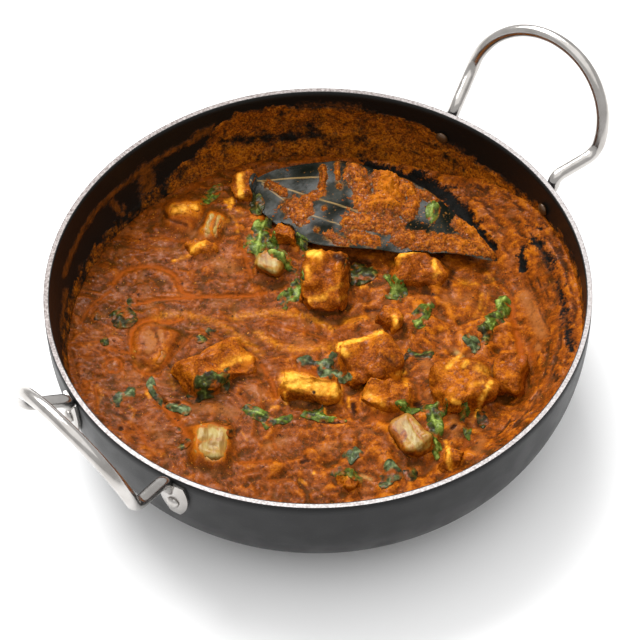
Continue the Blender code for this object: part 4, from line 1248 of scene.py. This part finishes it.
def build_gravy(mat, chunks):
    """The gravy's surface with everything painted on it, closed below."""
    unit_x, unit_y = disc_grid(GRAVY_GRID)
    radius = edge_radius(np.arctan2(unit_y, unit_x))
    x, y = unit_x * radius, unit_y * radius
    turn = np.arctan2(y, x)
    away = np.hypot(x, y)
    flat = places_at(x, y)
    lumpy = lumpiness(x, y)
    detail, lumps, folds, grain = gravy_relief(flat, lumpy)
    height, over, tops = over_chunks(gravy_height(x, y) + detail * MM, x, y, flat, lumps, chunks)

    places = places_at(x, y, height)
    along = places_at(turn * 0.11 * 0.22, away, height)
    fields = gravy_marks(places, along, x, away, grain, folds * (1.05 - lumpy))
    for kind, field in fields.items():
        height = height + MARK_RELIEF[kind] * field * MM
    shown = np.clip(np.maximum(fields["golden"], fields["clear"]), 0, 1)
    height = height - 2.2 * MM * smooth_step(0.1, 0.7, shown) * smooth_step(0, 2 * MM, tops - height + 2 * MM)
    height, bare = let_down(height, away, places, flat)

    on_wall = smooth_step(*ROUGHENED, away) * smooth_step(*ROUGH_SIDE, x)
    edge = smooth_step(*SHADED, away) * smooth_step(*SHADED_SIDE, x)
    streaks = fractal(along, 8 * MM, 4, 61, 0.65).reshape(x.shape)
    fields |= {
        # relief and small: darker in hollows and lighter on crests, as painted shade and light; relief also
        # stands for oil pooled in the hollows
        "relief": np.clip((height - blurred(height, 14)) / (0.9 * MM), -1, 1),
        "small": np.clip((height - blurred(height, 3)) / (0.16 * MM), -1, 1),
        # gloss: how glossy the gravy is, and how much painted shade darkens it
        "gloss": (1 - 0.9 * lumpy + 0.45 * around(x, y, *WET_FRONT)) * (1 - 0.9 * on_wall),
        # tone: lighter over the chunks; along the right of the wall, painted shade with darker streaks
        "tone": 0.08 * over + edge * (0.08 * smooth_step(0.3, 0.9, turn) - 0.14
                                      - 0.26 * smooth_step(-0.1, 0.5, streaks)),
        "bare": bare,
    }
    surface = places_at(x, y, height)
    verts, faces = closed_below(surface, GRAVY_GRID)
    obj = add_mesh("gravy_surface", verts, faces, [mat], ["gravy"])
    hidden = np.zeros(len(verts) - len(surface))
    paint(obj, {name: np.concatenate([field.ravel(), hidden]) for name, field in fields.items()})
    return obj


def closed_below(surface, n):
    """The gravy's surface (a grid n by n) closed along the wall down to the pan's floor."""
    faces = grid_faces(n, n, turned=True)
    above = [b for _, b in reversed(grid_border(n, n))]
    verts = [surface]
    border = surface[above]
    turns = np.arctan2(border[:, 1], border[:, 0])
    start = len(surface)
    bottom = FLOOR + 0.3 * MM
    for share in (0.25, 0.5, 0.75, 1.0):
        level = border[:, 2] + (bottom - border[:, 2]) * share
        ring = radius_at(INNER_WALL, level) - 0.3 * MM
        verts.append(places_at(ring * np.cos(turns), ring * np.sin(turns), level))
        below = list(range(start, start + len(above)))
        for a, b, c, d in zip(above, below, below[1:] + below[:1], above[1:] + above[:1]):
            faces.append((a, b, c, d))
        above = below
        start += len(above)
    faces += [(a, start, b) for a, b in zip(above, above[1:] + above[:1])]
    return np.vstack(verts + [[[0, 0, bottom]]]), faces


def build_wall_sauce(mat):
    """The thick coat left on the back and right of the wall."""
    columns, rows = 1300, 50
    low, high = 29 * MM, 71 * MM
    azimuth = np.radians(np.linspace(-180, 180, columns, endpoint=False))
    level = np.linspace(low, high, rows)
    a, z = np.meshgrid(azimuth, level)
    radius = radius_at(INNER_WALL, z)
    flat = places_at(radius * np.cos(a), radius * np.sin(a), z)
    edge = fractal(flat * (1, 1, 1.3), 9 * MM, 5, 61, 0.65).reshape(a.shape)
    inside, cover = coat_on_wall(np.degrees(a), z / MM)
    holes = stroke_field(*in_photo(flat), BARE_WALL, fractal(flat, 4 * MM, 3, 63)).reshape(a.shape)
    inside = inside + 0.75 * edge
    holes = holes * (flat[:, 1].reshape(a.shape) > -0.06)
    relief = billow(flat, 6 * MM, 3, 71, 0.6).reshape(a.shape)
    thick = (0.12 + 0.55 * smooth_step(0, 1, inside) * cover) * (1 + 0.8 * relief)
    thick = np.where(inside > 0, np.maximum(thick, 0.08), -0.5)
    ring = radius - thick * MM
    verts = places_at(ring * np.cos(a), ring * np.sin(a), z)
    shown = (inside > 0).ravel()
    faces = grid_faces(rows, columns, closed=True, turned=True)
    faces = [face for face in faces if any(shown[i] for i in face)]
    obj = add_mesh("sauce_on_wall", verts, faces, [mat])
    paint(obj, {"relief": np.clip(relief, -1, 1) + 0.8 * smooth_step(58, 46, z / MM),
                "cover": cover * smooth_step(-0.3, 1.3, inside) - 0.9 * holes})
    drop_loose(obj)


def drop_loose(obj):
    """Delete the vertices that no face uses."""
    bm = bmesh.new()
    bm.from_mesh(obj.data)
    bmesh.ops.delete(bm, geom=[v for v in bm.verts if not v.link_faces], context="VERTS")
    bm.to_mesh(obj.data)
    bm.free()


# ---- bay leaf ----
# sauce on the leaf: half width (px), depth (mm), pixels
LEAF_SAUCE = (
    (11.0, 4.2, (387, 180), (391, 197)), (8.0, 2.8, (376, 204), (396, 206)),
    (9.0, 1.6, (354, 172), (362, 188), (364, 205)), (8.0, 1.7, (350, 222), (372, 222), (395, 226)),
    (6.0, 1.9, (404, 184), (414, 198), (408, 214)), (4.5, 1.3, (422, 194), (434, 198)),
    (7.5, 2.0, (400, 238), (430, 242), (455, 243)), (7.0, 2.0, (460, 246), (480, 247), (494, 251)),
    (7.0, 2.5, (461, 224), (475, 233), (488, 244)), (6.0, 1.5, (352, 236), (374, 241)),
    (3.2, 1.6, (323, 168), (324, 177), (321, 187)), (2.5, 1.3, (337, 164), (338, 178)),
    (3.0, 1.3, (339, 186)), (4.0, 1.4, (312, 197), (322, 192)), (5.0, 1.4, (305, 199), (308, 212)),
    (9.0, 1.4, (291, 207), (300, 214)), (4.0, 1.3, (268, 184), (276, 188), (284, 193)),
    (2.5, 1.2, (316, 230)), (2.5, 1.1, (324, 208)), (5.0, 1.0, (330, 236), (345, 243)),
)
DARK_ON_LEAF = (
    (12.0, 1.0, (300, 170), (312, 168)), (14.0, 1.0, (345, 168), (392, 168), (420, 176)),
    (9.0, 1.0, (420, 180), (446, 194), (468, 208), (484, 222)), (11.0, 1.0, (446, 206), (450, 226)),
    (8.0, 1.0, (410, 224), (424, 230)), (9.0, 0.8, (330, 215), (345, 206)),
    (9.0, 1.0, (440, 190), (465, 208)), (7.0, 0.7, (316, 226), (330, 226)),
)
VEINS = (
    (0.9, 1.0, (247, 180), (262, 181), (290, 178.5), (322, 177)),
    (1.0, 1.0, (262, 182), (275, 186), (290, 190), (305, 195), (335, 204), (366, 214)),
    (0.9, 0.9, (262, 184), (285, 201), (303, 212), (338, 224), (366, 232)),
)


def bay_half_width(t):
    return BAY_HALF_WIDTH * np.maximum(np.sin(math.pi * t ** BAY_WIDEST), 0.0) ** 0.95


def bay_plan(t, k):
    """The leaf's blade before it settles on the food, from stalk to tip (t) and across (k)."""
    along = BAY_TIP - BAY_BASE
    run = Vector((along.x, along.y, 0))
    sideways = Vector((-run.y, run.x, 0)).normalized()
    half = bay_half_width(t)
    bow = BAY_BOW * smooth_step(0.35, 0.6, t) * (1 - smooth_step(0.85, 1.0, t))
    offset = bow + k * half
    x = BAY_BASE.x + along.x * t + sideways.x * offset
    y = BAY_BASE.y + along.y * t + sideways.y * offset
    z = BAY_BASE.z + along.z * t + BAY_ARCH * np.sin(math.pi * t) + BAY_BACK_LIFT * k * half / BAY_HALF_WIDTH
    return x, y, z + BAY_WAVE * np.sin(19 * t + 1.5 * k) * np.abs(k)


def gap_behind_leaf():
    """The dark gap along the leaf's far edge, as strokes that narrow towards its tip."""
    strokes = []
    for start, end, half, beyond in ((0.40, 0.62, 6.5, 2.0), (0.58, 0.82, 9.5, 4.5), (0.80, 0.96, 6.0, 2.5)):
        t = np.linspace(start, end, 5)
        px, py = in_photo(places_at(*bay_plan(t, np.ones(5))))
        strokes.append((half, 1.35, *zip(px + 0.8 * beyond, py - beyond)))
    return strokes


def bay_surface(rows, columns, ground):
    """Upper face of the leaf as a grid of places, and the grid's t and k."""
    t, k = np.meshgrid(np.linspace(0.002, 0.998, rows), np.linspace(-1, 1, columns), indexing="ij")
    x, y, z = bay_plan(t, k)
    flat = places_at(x, y)
    z += 0.5 * MM * fractal(flat, 13 * MM, 2, 81).reshape(x.shape) * (0.3 + np.abs(k))
    under = heights_over(ground, x, y)
    z = smooth_highest(z, under + 0.5 * MM, 1.0 * MM)
    return x, y, z + BAY_THICKNESS, t, k


def build_bay_leaf(mat, ground):
    """The blade, thinner at its edges, with veins, crumbs and a film of sauce painted on it."""
    rows, columns = 190, 62
    x, y, z, t, k = bay_surface(rows, columns, ground)
    flat = places_at(x, y, z)
    px, py = in_photo(flat)
    veins = stroke_field(px, py, VEINS, 0 * px).reshape(x.shape)
    z = z + 0.22 * MM * veins
    thin = BAY_THICKNESS * (1 - 0.75 * np.abs(k) ** 6)
    top = places_at(x, y, z)
    low = places_at(x, y, z - thin)
    faces = two_sided(grid_faces(rows, columns, turned=True), len(top), grid_border(rows, columns))
    obj = add_mesh("bay_leaf_blade", np.vstack([top, low]), faces, [mat], ["bay_leaf"])
    dark = stroke_field(px, py, DARK_ON_LEAF, fractal(flat, 4 * MM, 3, 83)).reshape(x.shape)
    crumbs = smooth_step(0.15, 0.6, t)
    spread = [(half * 1.15 + 1.0, 0.9, *points) for half, _, *points in LEAF_SAUCE]
    film = stroke_field(px, py, spread, fractal(flat, 5 * MM, 3, 85)).reshape(x.shape)
    fields = {"vein": veins, "dark": dark, "crumbs": crumbs, "film": film}
    paint(obj, {name: np.stack([field, field]) for name, field in fields.items()})
    return obj


def build_leaf_sauce(mat, ground):
    """Patches of gravy that lie on the leaf."""
    rows, columns = 300, 110
    x, y, z, _, k = bay_surface(rows, columns, ground)
    flat = places_at(x, y)
    rough = fractal(flat, 6 * MM, 4, 91, 0.6).reshape(x.shape)
    lumps = billow(flat, 5.5 * MM, 3, 95, 0.6).reshape(x.shape)
    px, py = in_photo(places_at(x, y, z))
    depth = 1.5 * stroke_field(px, py, LEAF_SAUCE, 0.8 * rough.ravel()).reshape(x.shape) - 0.55
    depth = depth + 0.6 * rough + 0.55 * fractal(flat, 2.4 * MM, 2, 97).reshape(x.shape)
    shown = depth > 0
    thick = np.where(shown, depth * (1 + 0.4 * lumps) + 0.12, -0.3)
    thick = thick * smooth_step(1.0, 0.94, np.abs(k)) - 0.2 * (np.abs(k) > 0.985)
    verts = places_at(x, y, z + thick * MM)
    mask = shown.ravel()
    faces = [face for face in grid_faces(rows, columns, turned=True) if any(mask[i] for i in face)]
    obj = add_mesh("sauce_on_bay_leaf", verts, faces, [mat], ["gravy_on_bay_leaf"])
    paint(obj, {"relief": np.clip(lumps * 0.8 + 0.1 + 0.35 * (depth - 0.8), -1, 1.6)})
    drop_loose(obj)
    return obj


# ---- greens ----
# node without coriander_, kind, crumple (mm), outline (px)
GREENS = (
    ("back_left", "bright", 1.3, (244, 246), (246, 236), (252, 229), (256, 222), (266, 221), (272, 225),
     (270, 233), (275, 240), (272, 248), (262, 252), (254, 254), (247, 252)),
    ("ribbon", "bright", 1.5, (268, 238), (277, 243), (284, 251), (290, 259), (295, 266), (301, 272),
     (304, 280), (303, 291), (299, 304), (293, 301), (289, 305), (284, 313), (281, 305), (277, 298),
     (284, 290), (291, 282), (291, 274), (284, 267), (277, 260), (268, 252)),
    ("by_leaf", "bright", 0.9, (296, 233), (302, 236), (310, 242), (307, 249), (303, 256), (299, 250)),
    ("dark", "dark", 1.2, (345, 268), (352, 265), (362, 265), (372, 266), (379, 271), (374, 278), (366, 283),
     (357, 286), (350, 281), (352, 272)),
    ("behind_block", "bright", 1.2, (383, 276), (388, 273), (396, 278), (404, 286), (407, 294), (402, 300),
     (393, 299), (385, 295), (391, 289), (388, 282)),
    ("bit", "bright", 1.2, (413, 313), (419, 307), (428, 302), (434, 307), (431, 313), (427, 320), (423, 327),
     (416, 328), (413, 320)),
    ("right", "bright", 1.6, (484, 320), (490, 312), (496, 308), (495, 301), (502, 296), (508, 299),
     (511, 305), (508, 316), (503, 323), (497, 328), (489, 329)),
    ("right_low", "dark", 1.2, (477, 326), (484, 323), (490, 328), (492, 336), (487, 344), (480, 341),
     (483, 334), (477, 330)),
    ("right_inner", "blue", 0.8, (463, 339), (469, 334), (476, 338), (480, 346), (475, 353), (469, 347)),
    ("over_block", "dark", 0.8, (402, 354), (410, 349), (419, 354), (430, 349), (433, 355), (424, 361),
     (414, 358), (405, 361)),
    ("middle", "bright", 0.7, (396, 403), (404, 400), (412, 405), (419, 410), (413, 414), (404, 411)),
    ("ruffle", "bright", 2.0, (420, 408), (432, 403), (443, 407), (447, 414), (442, 420), (443, 430),
     (440, 440), (442, 452), (437, 460), (432, 449), (433, 438), (427, 430), (426, 420), (421, 414)),
    ("edge", "bright", 0.9, (460, 411), (466, 407), (470, 413), (467, 420), (471, 428), (470, 439),
     (465, 436), (463, 426), (460, 418)),
    ("front", "blue", 1.0, (379, 485), (382, 472), (386, 462), (391, 460), (398, 468), (404, 477), (396, 480),
     (390, 485), (385, 488)),
    ("front_small", "blue", 0.9, (342, 456), (350, 450), (356, 448), (363, 454), (356, 459), (351, 464)),
    ("stem", "bright", 0.8, (329, 470), (338, 465), (347, 467), (357, 473), (364, 481), (354, 480),
     (346, 475), (338, 474), (330, 474)),
    ("far_left", "bright", 0.7, (201, 204), (204, 196), (210, 190), (216, 186), (223, 185), (221, 192),
     (215, 199), (208, 204)),
    ("under_leaf", "dark", 0.8, (249, 206), (254, 197), (260, 195), (264, 205), (260, 215), (253, 214)),
    ("left", "dark", 1.2, (110, 312), (116, 307), (126, 307), (133, 312), (137, 319), (131, 326), (121, 328),
     (112, 323)),
    ("by_left_block", "dark", 1.4, (187, 396), (193, 384), (199, 375), (209, 371), (218, 373), (229, 367),
     (229, 380), (227, 391), (216, 396), (205, 399), (196, 402)),
    ("sprig", "bright", 0.9, (242, 411), (248, 405), (256, 407), (266, 412), (278, 417), (289, 414),
     (292, 418), (285, 424), (275, 424), (266, 429), (262, 422), (255, 419)),
    ("sprig_right", "bright", 0.8, (301, 416), (307, 410), (316, 409), (323, 407), (324, 415), (333, 417),
     (346, 419), (343, 423), (328, 422), (314, 420)),
    ("centre", "blue", 1.0, (297, 361), (306, 356), (318, 360), (328, 357), (334, 350), (337, 358),
     (333, 366), (340, 372), (350, 374), (351, 380), (340, 383), (330, 378), (320, 376), (312, 368),
     (303, 367)),
    ("left_low", "blue", 0.7, (111, 399), (118, 392), (124, 393), (129, 387), (135, 390), (133, 398),
     (126, 402), (120, 408), (113, 404)),
    ("curved", "blue", 0.7, (147, 384), (152, 377), (156, 384), (158, 392), (164, 399), (172, 402),
     (182, 404), (191, 409), (186, 415), (176, 412), (164, 407), (155, 399), (149, 391)),
    ("on_bay_leaf", "bright", 0.6, (427, 208), (432, 202), (439, 206), (438, 216), (432, 223), (427, 219)),
)


# torn bits of the same leaves lying on the gravy, one piece together
CRUMBS = (
    ((178, 447), (182, 442), (188, 440), (191, 443), (187, 447), (181, 450)),
    ((174, 428), (179, 428), (182, 432), (177, 433)), ((222, 420), (228, 419), (230, 423), (225, 425)),
    ((227, 431), (233, 430), (235, 434), (229, 436)),
    ((404, 471), (411, 468), (417, 474), (413, 481), (406, 479)),
    ((478, 413), (485, 413), (488, 421), (483, 428), (478, 421)),
    ((92, 316), (98, 314), (100, 319), (94, 322)), ((128, 300), (134, 298), (136, 304), (130, 306)),
    ((196, 338), (202, 336), (206, 340), (199, 343)), ((206, 330), (214, 328), (218, 332), (210, 335)),
    ((101, 340), (106, 338), (108, 344), (103, 345)),
)


GREEN_THICKNESS = 0.3 * MM
GREEN_SPACING = 0.55 * MM


def lifted(xy, value):
    """Places (N, 3) at flat points (N, 2), all with one third coordinate."""
    return np.column_stack([xy, np.full(len(xy), value)])


def away_from(outline, xy):
    """Distance of flat points (N, 2) to the nearest point of an outline."""
    return np.hypot(xy[:, :1] - outline[:, 0], xy[:, 1:] - outline[:, 1]).min(axis=1)


def inside_outline(points, outline):
    """Which of the points (N, 2) lie inside a closed outline (M, 2)."""
    x, y = points[:, :1], points[:, 1:]
    ax, ay = outline.T
    bx, by = np.roll(outline, -1, axis=0).T
    straddles = (ay > y) != (by > y)
    crossing = (bx - ax) * (y - ay) / np.where(by == ay, 1e-12, by - ay) + ax
    return (straddles & (x < crossing)).sum(axis=1) % 2 == 1


def outline_on(ground, pixels, seed):
    """A leaf's outline where the camera sees it on the food, roughened; its middle and its reach."""
    right, up, forward = camera_axes()
    half = IMAGE_PX / 2
    eye = Vector(CAMERA_PLACE)
    corners = []
    for px, py in pixels:
        sight = Vector(forward * FOCAL_PX + (px - half) * right - (py - half) * up).normalized()
        hit = ground.ray_cast(eye, sight)[0]
        corners.append((hit.x, hit.y))
    outline = rounded_line(corners, 7, closed=True)
    centre = outline.mean(axis=0)
    reach = outline - centre
    rough = noise(lifted(outline, seed * 0.01), 2.0 * MM, 200 + seed)
    outline = centre + reach * (1 + (0.35 * MM * rough + 0.5 * MM) / np.hypot(*reach.T))[:, None]
    return outline, centre, reach


def filled(outline, seed):
    """The inside of an outline as points (N, 2) and triangles that face up."""
    low, high = outline.min(axis=0), outline.max(axis=0)
    steps = [np.arange(low[axis], high[axis], GREEN_SPACING) for axis in (0, 1)]
    grid = np.stack(np.meshgrid(*steps), axis=-1).reshape(-1, 2)
    shake = [noise(lifted(grid, k), 1 * MM, seed) for k in (0.1, 0.2)]
    grid = grid + GREEN_SPACING * 0.2 * np.stack(shake, axis=1)
    within = grid[inside_outline(grid, outline)]
    within = within[away_from(outline, within) > 0.35 * MM]
    points = [Vector(p) for p in np.vstack([outline, within])]
    flat, _, faces, *_ = mathutils.geometry.delaunay_2d_cdt(points, [], [list(range(len(outline)))], 1, 1e-7)
    xy = np.array(flat)
    up = []
    for face in faces:
        a, b, c = (xy[i] for i in face[:3])
        left_turn = (b[0] - a[0]) * (c[1] - a[1]) > (b[1] - a[1]) * (c[0] - a[0])
        up.append(tuple(face if left_turn else face[::-1]))
    return xy, up


def leaf_veins(from_centre, reach, spots, rim, seed):
    """A midrib along the leaf's longest way, and veins that branch off it."""
    axis = np.linalg.svd(reach)[2][0]
    side = np.array([-axis[1], axis[0]])
    u = from_centre @ axis / np.hypot(*reach.T).max()
    v = from_centre @ side / np.abs(reach @ side).max()
    v = v + 0.25 * noise(spots, 9 * MM, 401 + seed)
    branches = 0.5 * np.exp(-(np.sin(9 * (u - 0.6 * np.abs(v))) / 0.25) ** 2)
    return np.exp(-(v / 0.08) ** 2) + branches * (1 - rim)


def green_sheet(pixels, crumple, ground, seed):
    """A thin crumpled sheet inside an outline of the photograph, closed all round."""
    outline, centre, reach = outline_on(ground, pixels, seed)
    xy, up = filled(outline, seed)
    rim = 1 - smooth_step(0, 2.5 * MM, away_from(outline, xy))
    base = heights_over(ground, xy[:, 0], xy[:, 1], GRAVY_LEVEL)
    spots = lifted(xy, seed * 0.013)
    wave = fractal(spots, 6.5 * MM, 3, 101 + seed, 0.55)
    lift = 0.32 + crumple * (0.8 * wave + 0.22 - 0.28 * rim)
    lift += 0.5 * rim * (noise(spots, 3 * MM, 301 + seed) - 0.3)
    vein = leaf_veins(xy - centre, reach, spots, rim, seed)
    z = base + np.maximum(lift, -0.7) * MM + 0.15 * MM * vein
    verts = np.vstack([np.column_stack([xy, z]), np.column_stack([xy, z - GREEN_THICKNESS])])
    sides = {side: True for face in up for side in zip(face, face[1:] + face[:1])}
    faces = two_sided(up, len(xy), [(i, j) for i, j in sides if (j, i) not in sides])
    sauce = smooth_step(0.5, -0.6, wave) + 0.3 * rim
    # fold is the crumple's height, read by the material as painted light and shade
    looks = {"vein": vein, "sauce": sauce, "fold": np.clip(wave, -1, 1)}
    return verts, faces, {key: np.tile(field, 2) for key, field in looks.items()}


def build_green(spec, mats, ground, seed):
    name, kind, crumple, *pixels = spec
    node = "coriander_" + name
    verts, faces, looks = green_sheet(pixels, crumple, ground, seed)
    paint(add_mesh(node + "_leaf", verts, faces, [mats[kind]], [node]), looks)


def build_crumbs(mat, ground):
    sheets = [green_sheet(pixels, 0.4, ground, 500 + seed) for seed, pixels in enumerate(CRUMBS)]
    faces = []
    start = 0
    for verts, sheet_faces, _ in sheets:
        faces += [tuple(start + i for i in face) for face in sheet_faces]
        start += len(verts)
    obj = add_mesh("coriander_crumbs", np.vstack([sheet[0] for sheet in sheets]), faces, [mat])
    paint(obj, {key: np.concatenate([sheet[2][key] for sheet in sheets]) for key in sheets[0][2]})


# ---- stage ----
GROUND_HALF = 4.0
FOOD_HEIGHT = 40 * MM
WORLD_LIGHT = 0.80


def build_stage():
    mesh = bpy.data.meshes.new("ground")
    corners = [(x * GROUND_HALF, y * GROUND_HALF, 0) for x, y in ((-1, -1), (1, -1), (1, 1), (-1, 1))]
    mesh.from_pydata(corners, [], [(0, 1, 2, 3)])
    mesh.materials.append(floor_material())
    link("ground", mesh)


def add_light(name, place, side, power):
    """A square soft light that looks at the middle of the food."""
    target = Vector((0, 0, FOOD_HEIGHT))
    light = bpy.data.lights.new(name, "AREA")
    light.shape = "RECTANGLE"
    light.size = light.size_y = side
    light.energy = power
    obj = link(name, light)
    obj.location = place
    obj.rotation_euler = (target - Vector(place)).to_track_quat("-Z", "Y").to_euler()


def build_lights():
    world = bpy.data.worlds.new("studio")
    world.use_nodes = True
    background = world.node_tree.nodes["Background"]
    background.inputs["Color"].default_value = (1, 1, 1, 1)
    background.inputs["Strength"].default_value = WORLD_LIGHT
    bpy.context.scene.world = world
    add_light("window", (-0.45, 1.00, 1.45), 1.3, 46)
    add_light("overhead", (0.0, -0.2, 2.2), 3.0, 26)


def build_camera():
    right, up, forward = camera_axes()
    camera = bpy.data.cameras.new("camera")
    camera.sensor_width = SENSOR_MM
    camera.lens = SENSOR_MM * FOCAL_PX / IMAGE_PX
    camera.clip_end = 20
    obj = link("camera", camera)
    turn = Matrix([right, up, -forward]).transposed()
    obj.matrix_world = Matrix.Translation(CAMERA_PLACE) @ turn.to_4x4()
    bpy.context.scene.camera = obj


def build():
    bpy.context.scene.view_settings.view_transform = "Standard"
    build_camera()
    build_lights()
    build_stage()

    build_pan()
    steel = steel_material()
    for name, azimuth, lean in HANDLES:
        build_handle(name, azimuth, lean, steel)
    build_rivets(rivet_material())

    paneer = paneer_material()
    onion = onion_material()
    chunks = []
    for seed, node in enumerate(sorted(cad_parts)):
        if node.startswith("paneer_"):
            chunks.append(chunk_piece(node, seed, paneer, 0.8 * MM, 0.7 * MM))
        elif node.startswith("onion_"):
            chunks.append(chunk_piece(node, seed, onion, 0.3 * MM, 0.2 * MM))
    gravy = build_gravy(gravy_material(), chunks)
    build_wall_sauce(wall_sauce_material())

    food = tree_of(gravy, *chunks)
    leaf = build_bay_leaf(bay_material(), food)
    leaf_sauce = build_leaf_sauce(leaf_sauce_material(), food)

    greens = {kind: leaf_material(*settings) for kind, settings in GREEN_LOOKS.items()}
    over = tree_of(gravy, leaf, leaf_sauce, *chunks)
    for seed, spec in enumerate(GREENS):
        build_green(spec, greens, over, seed)
    build_crumbs(greens["dark"], over)


build()
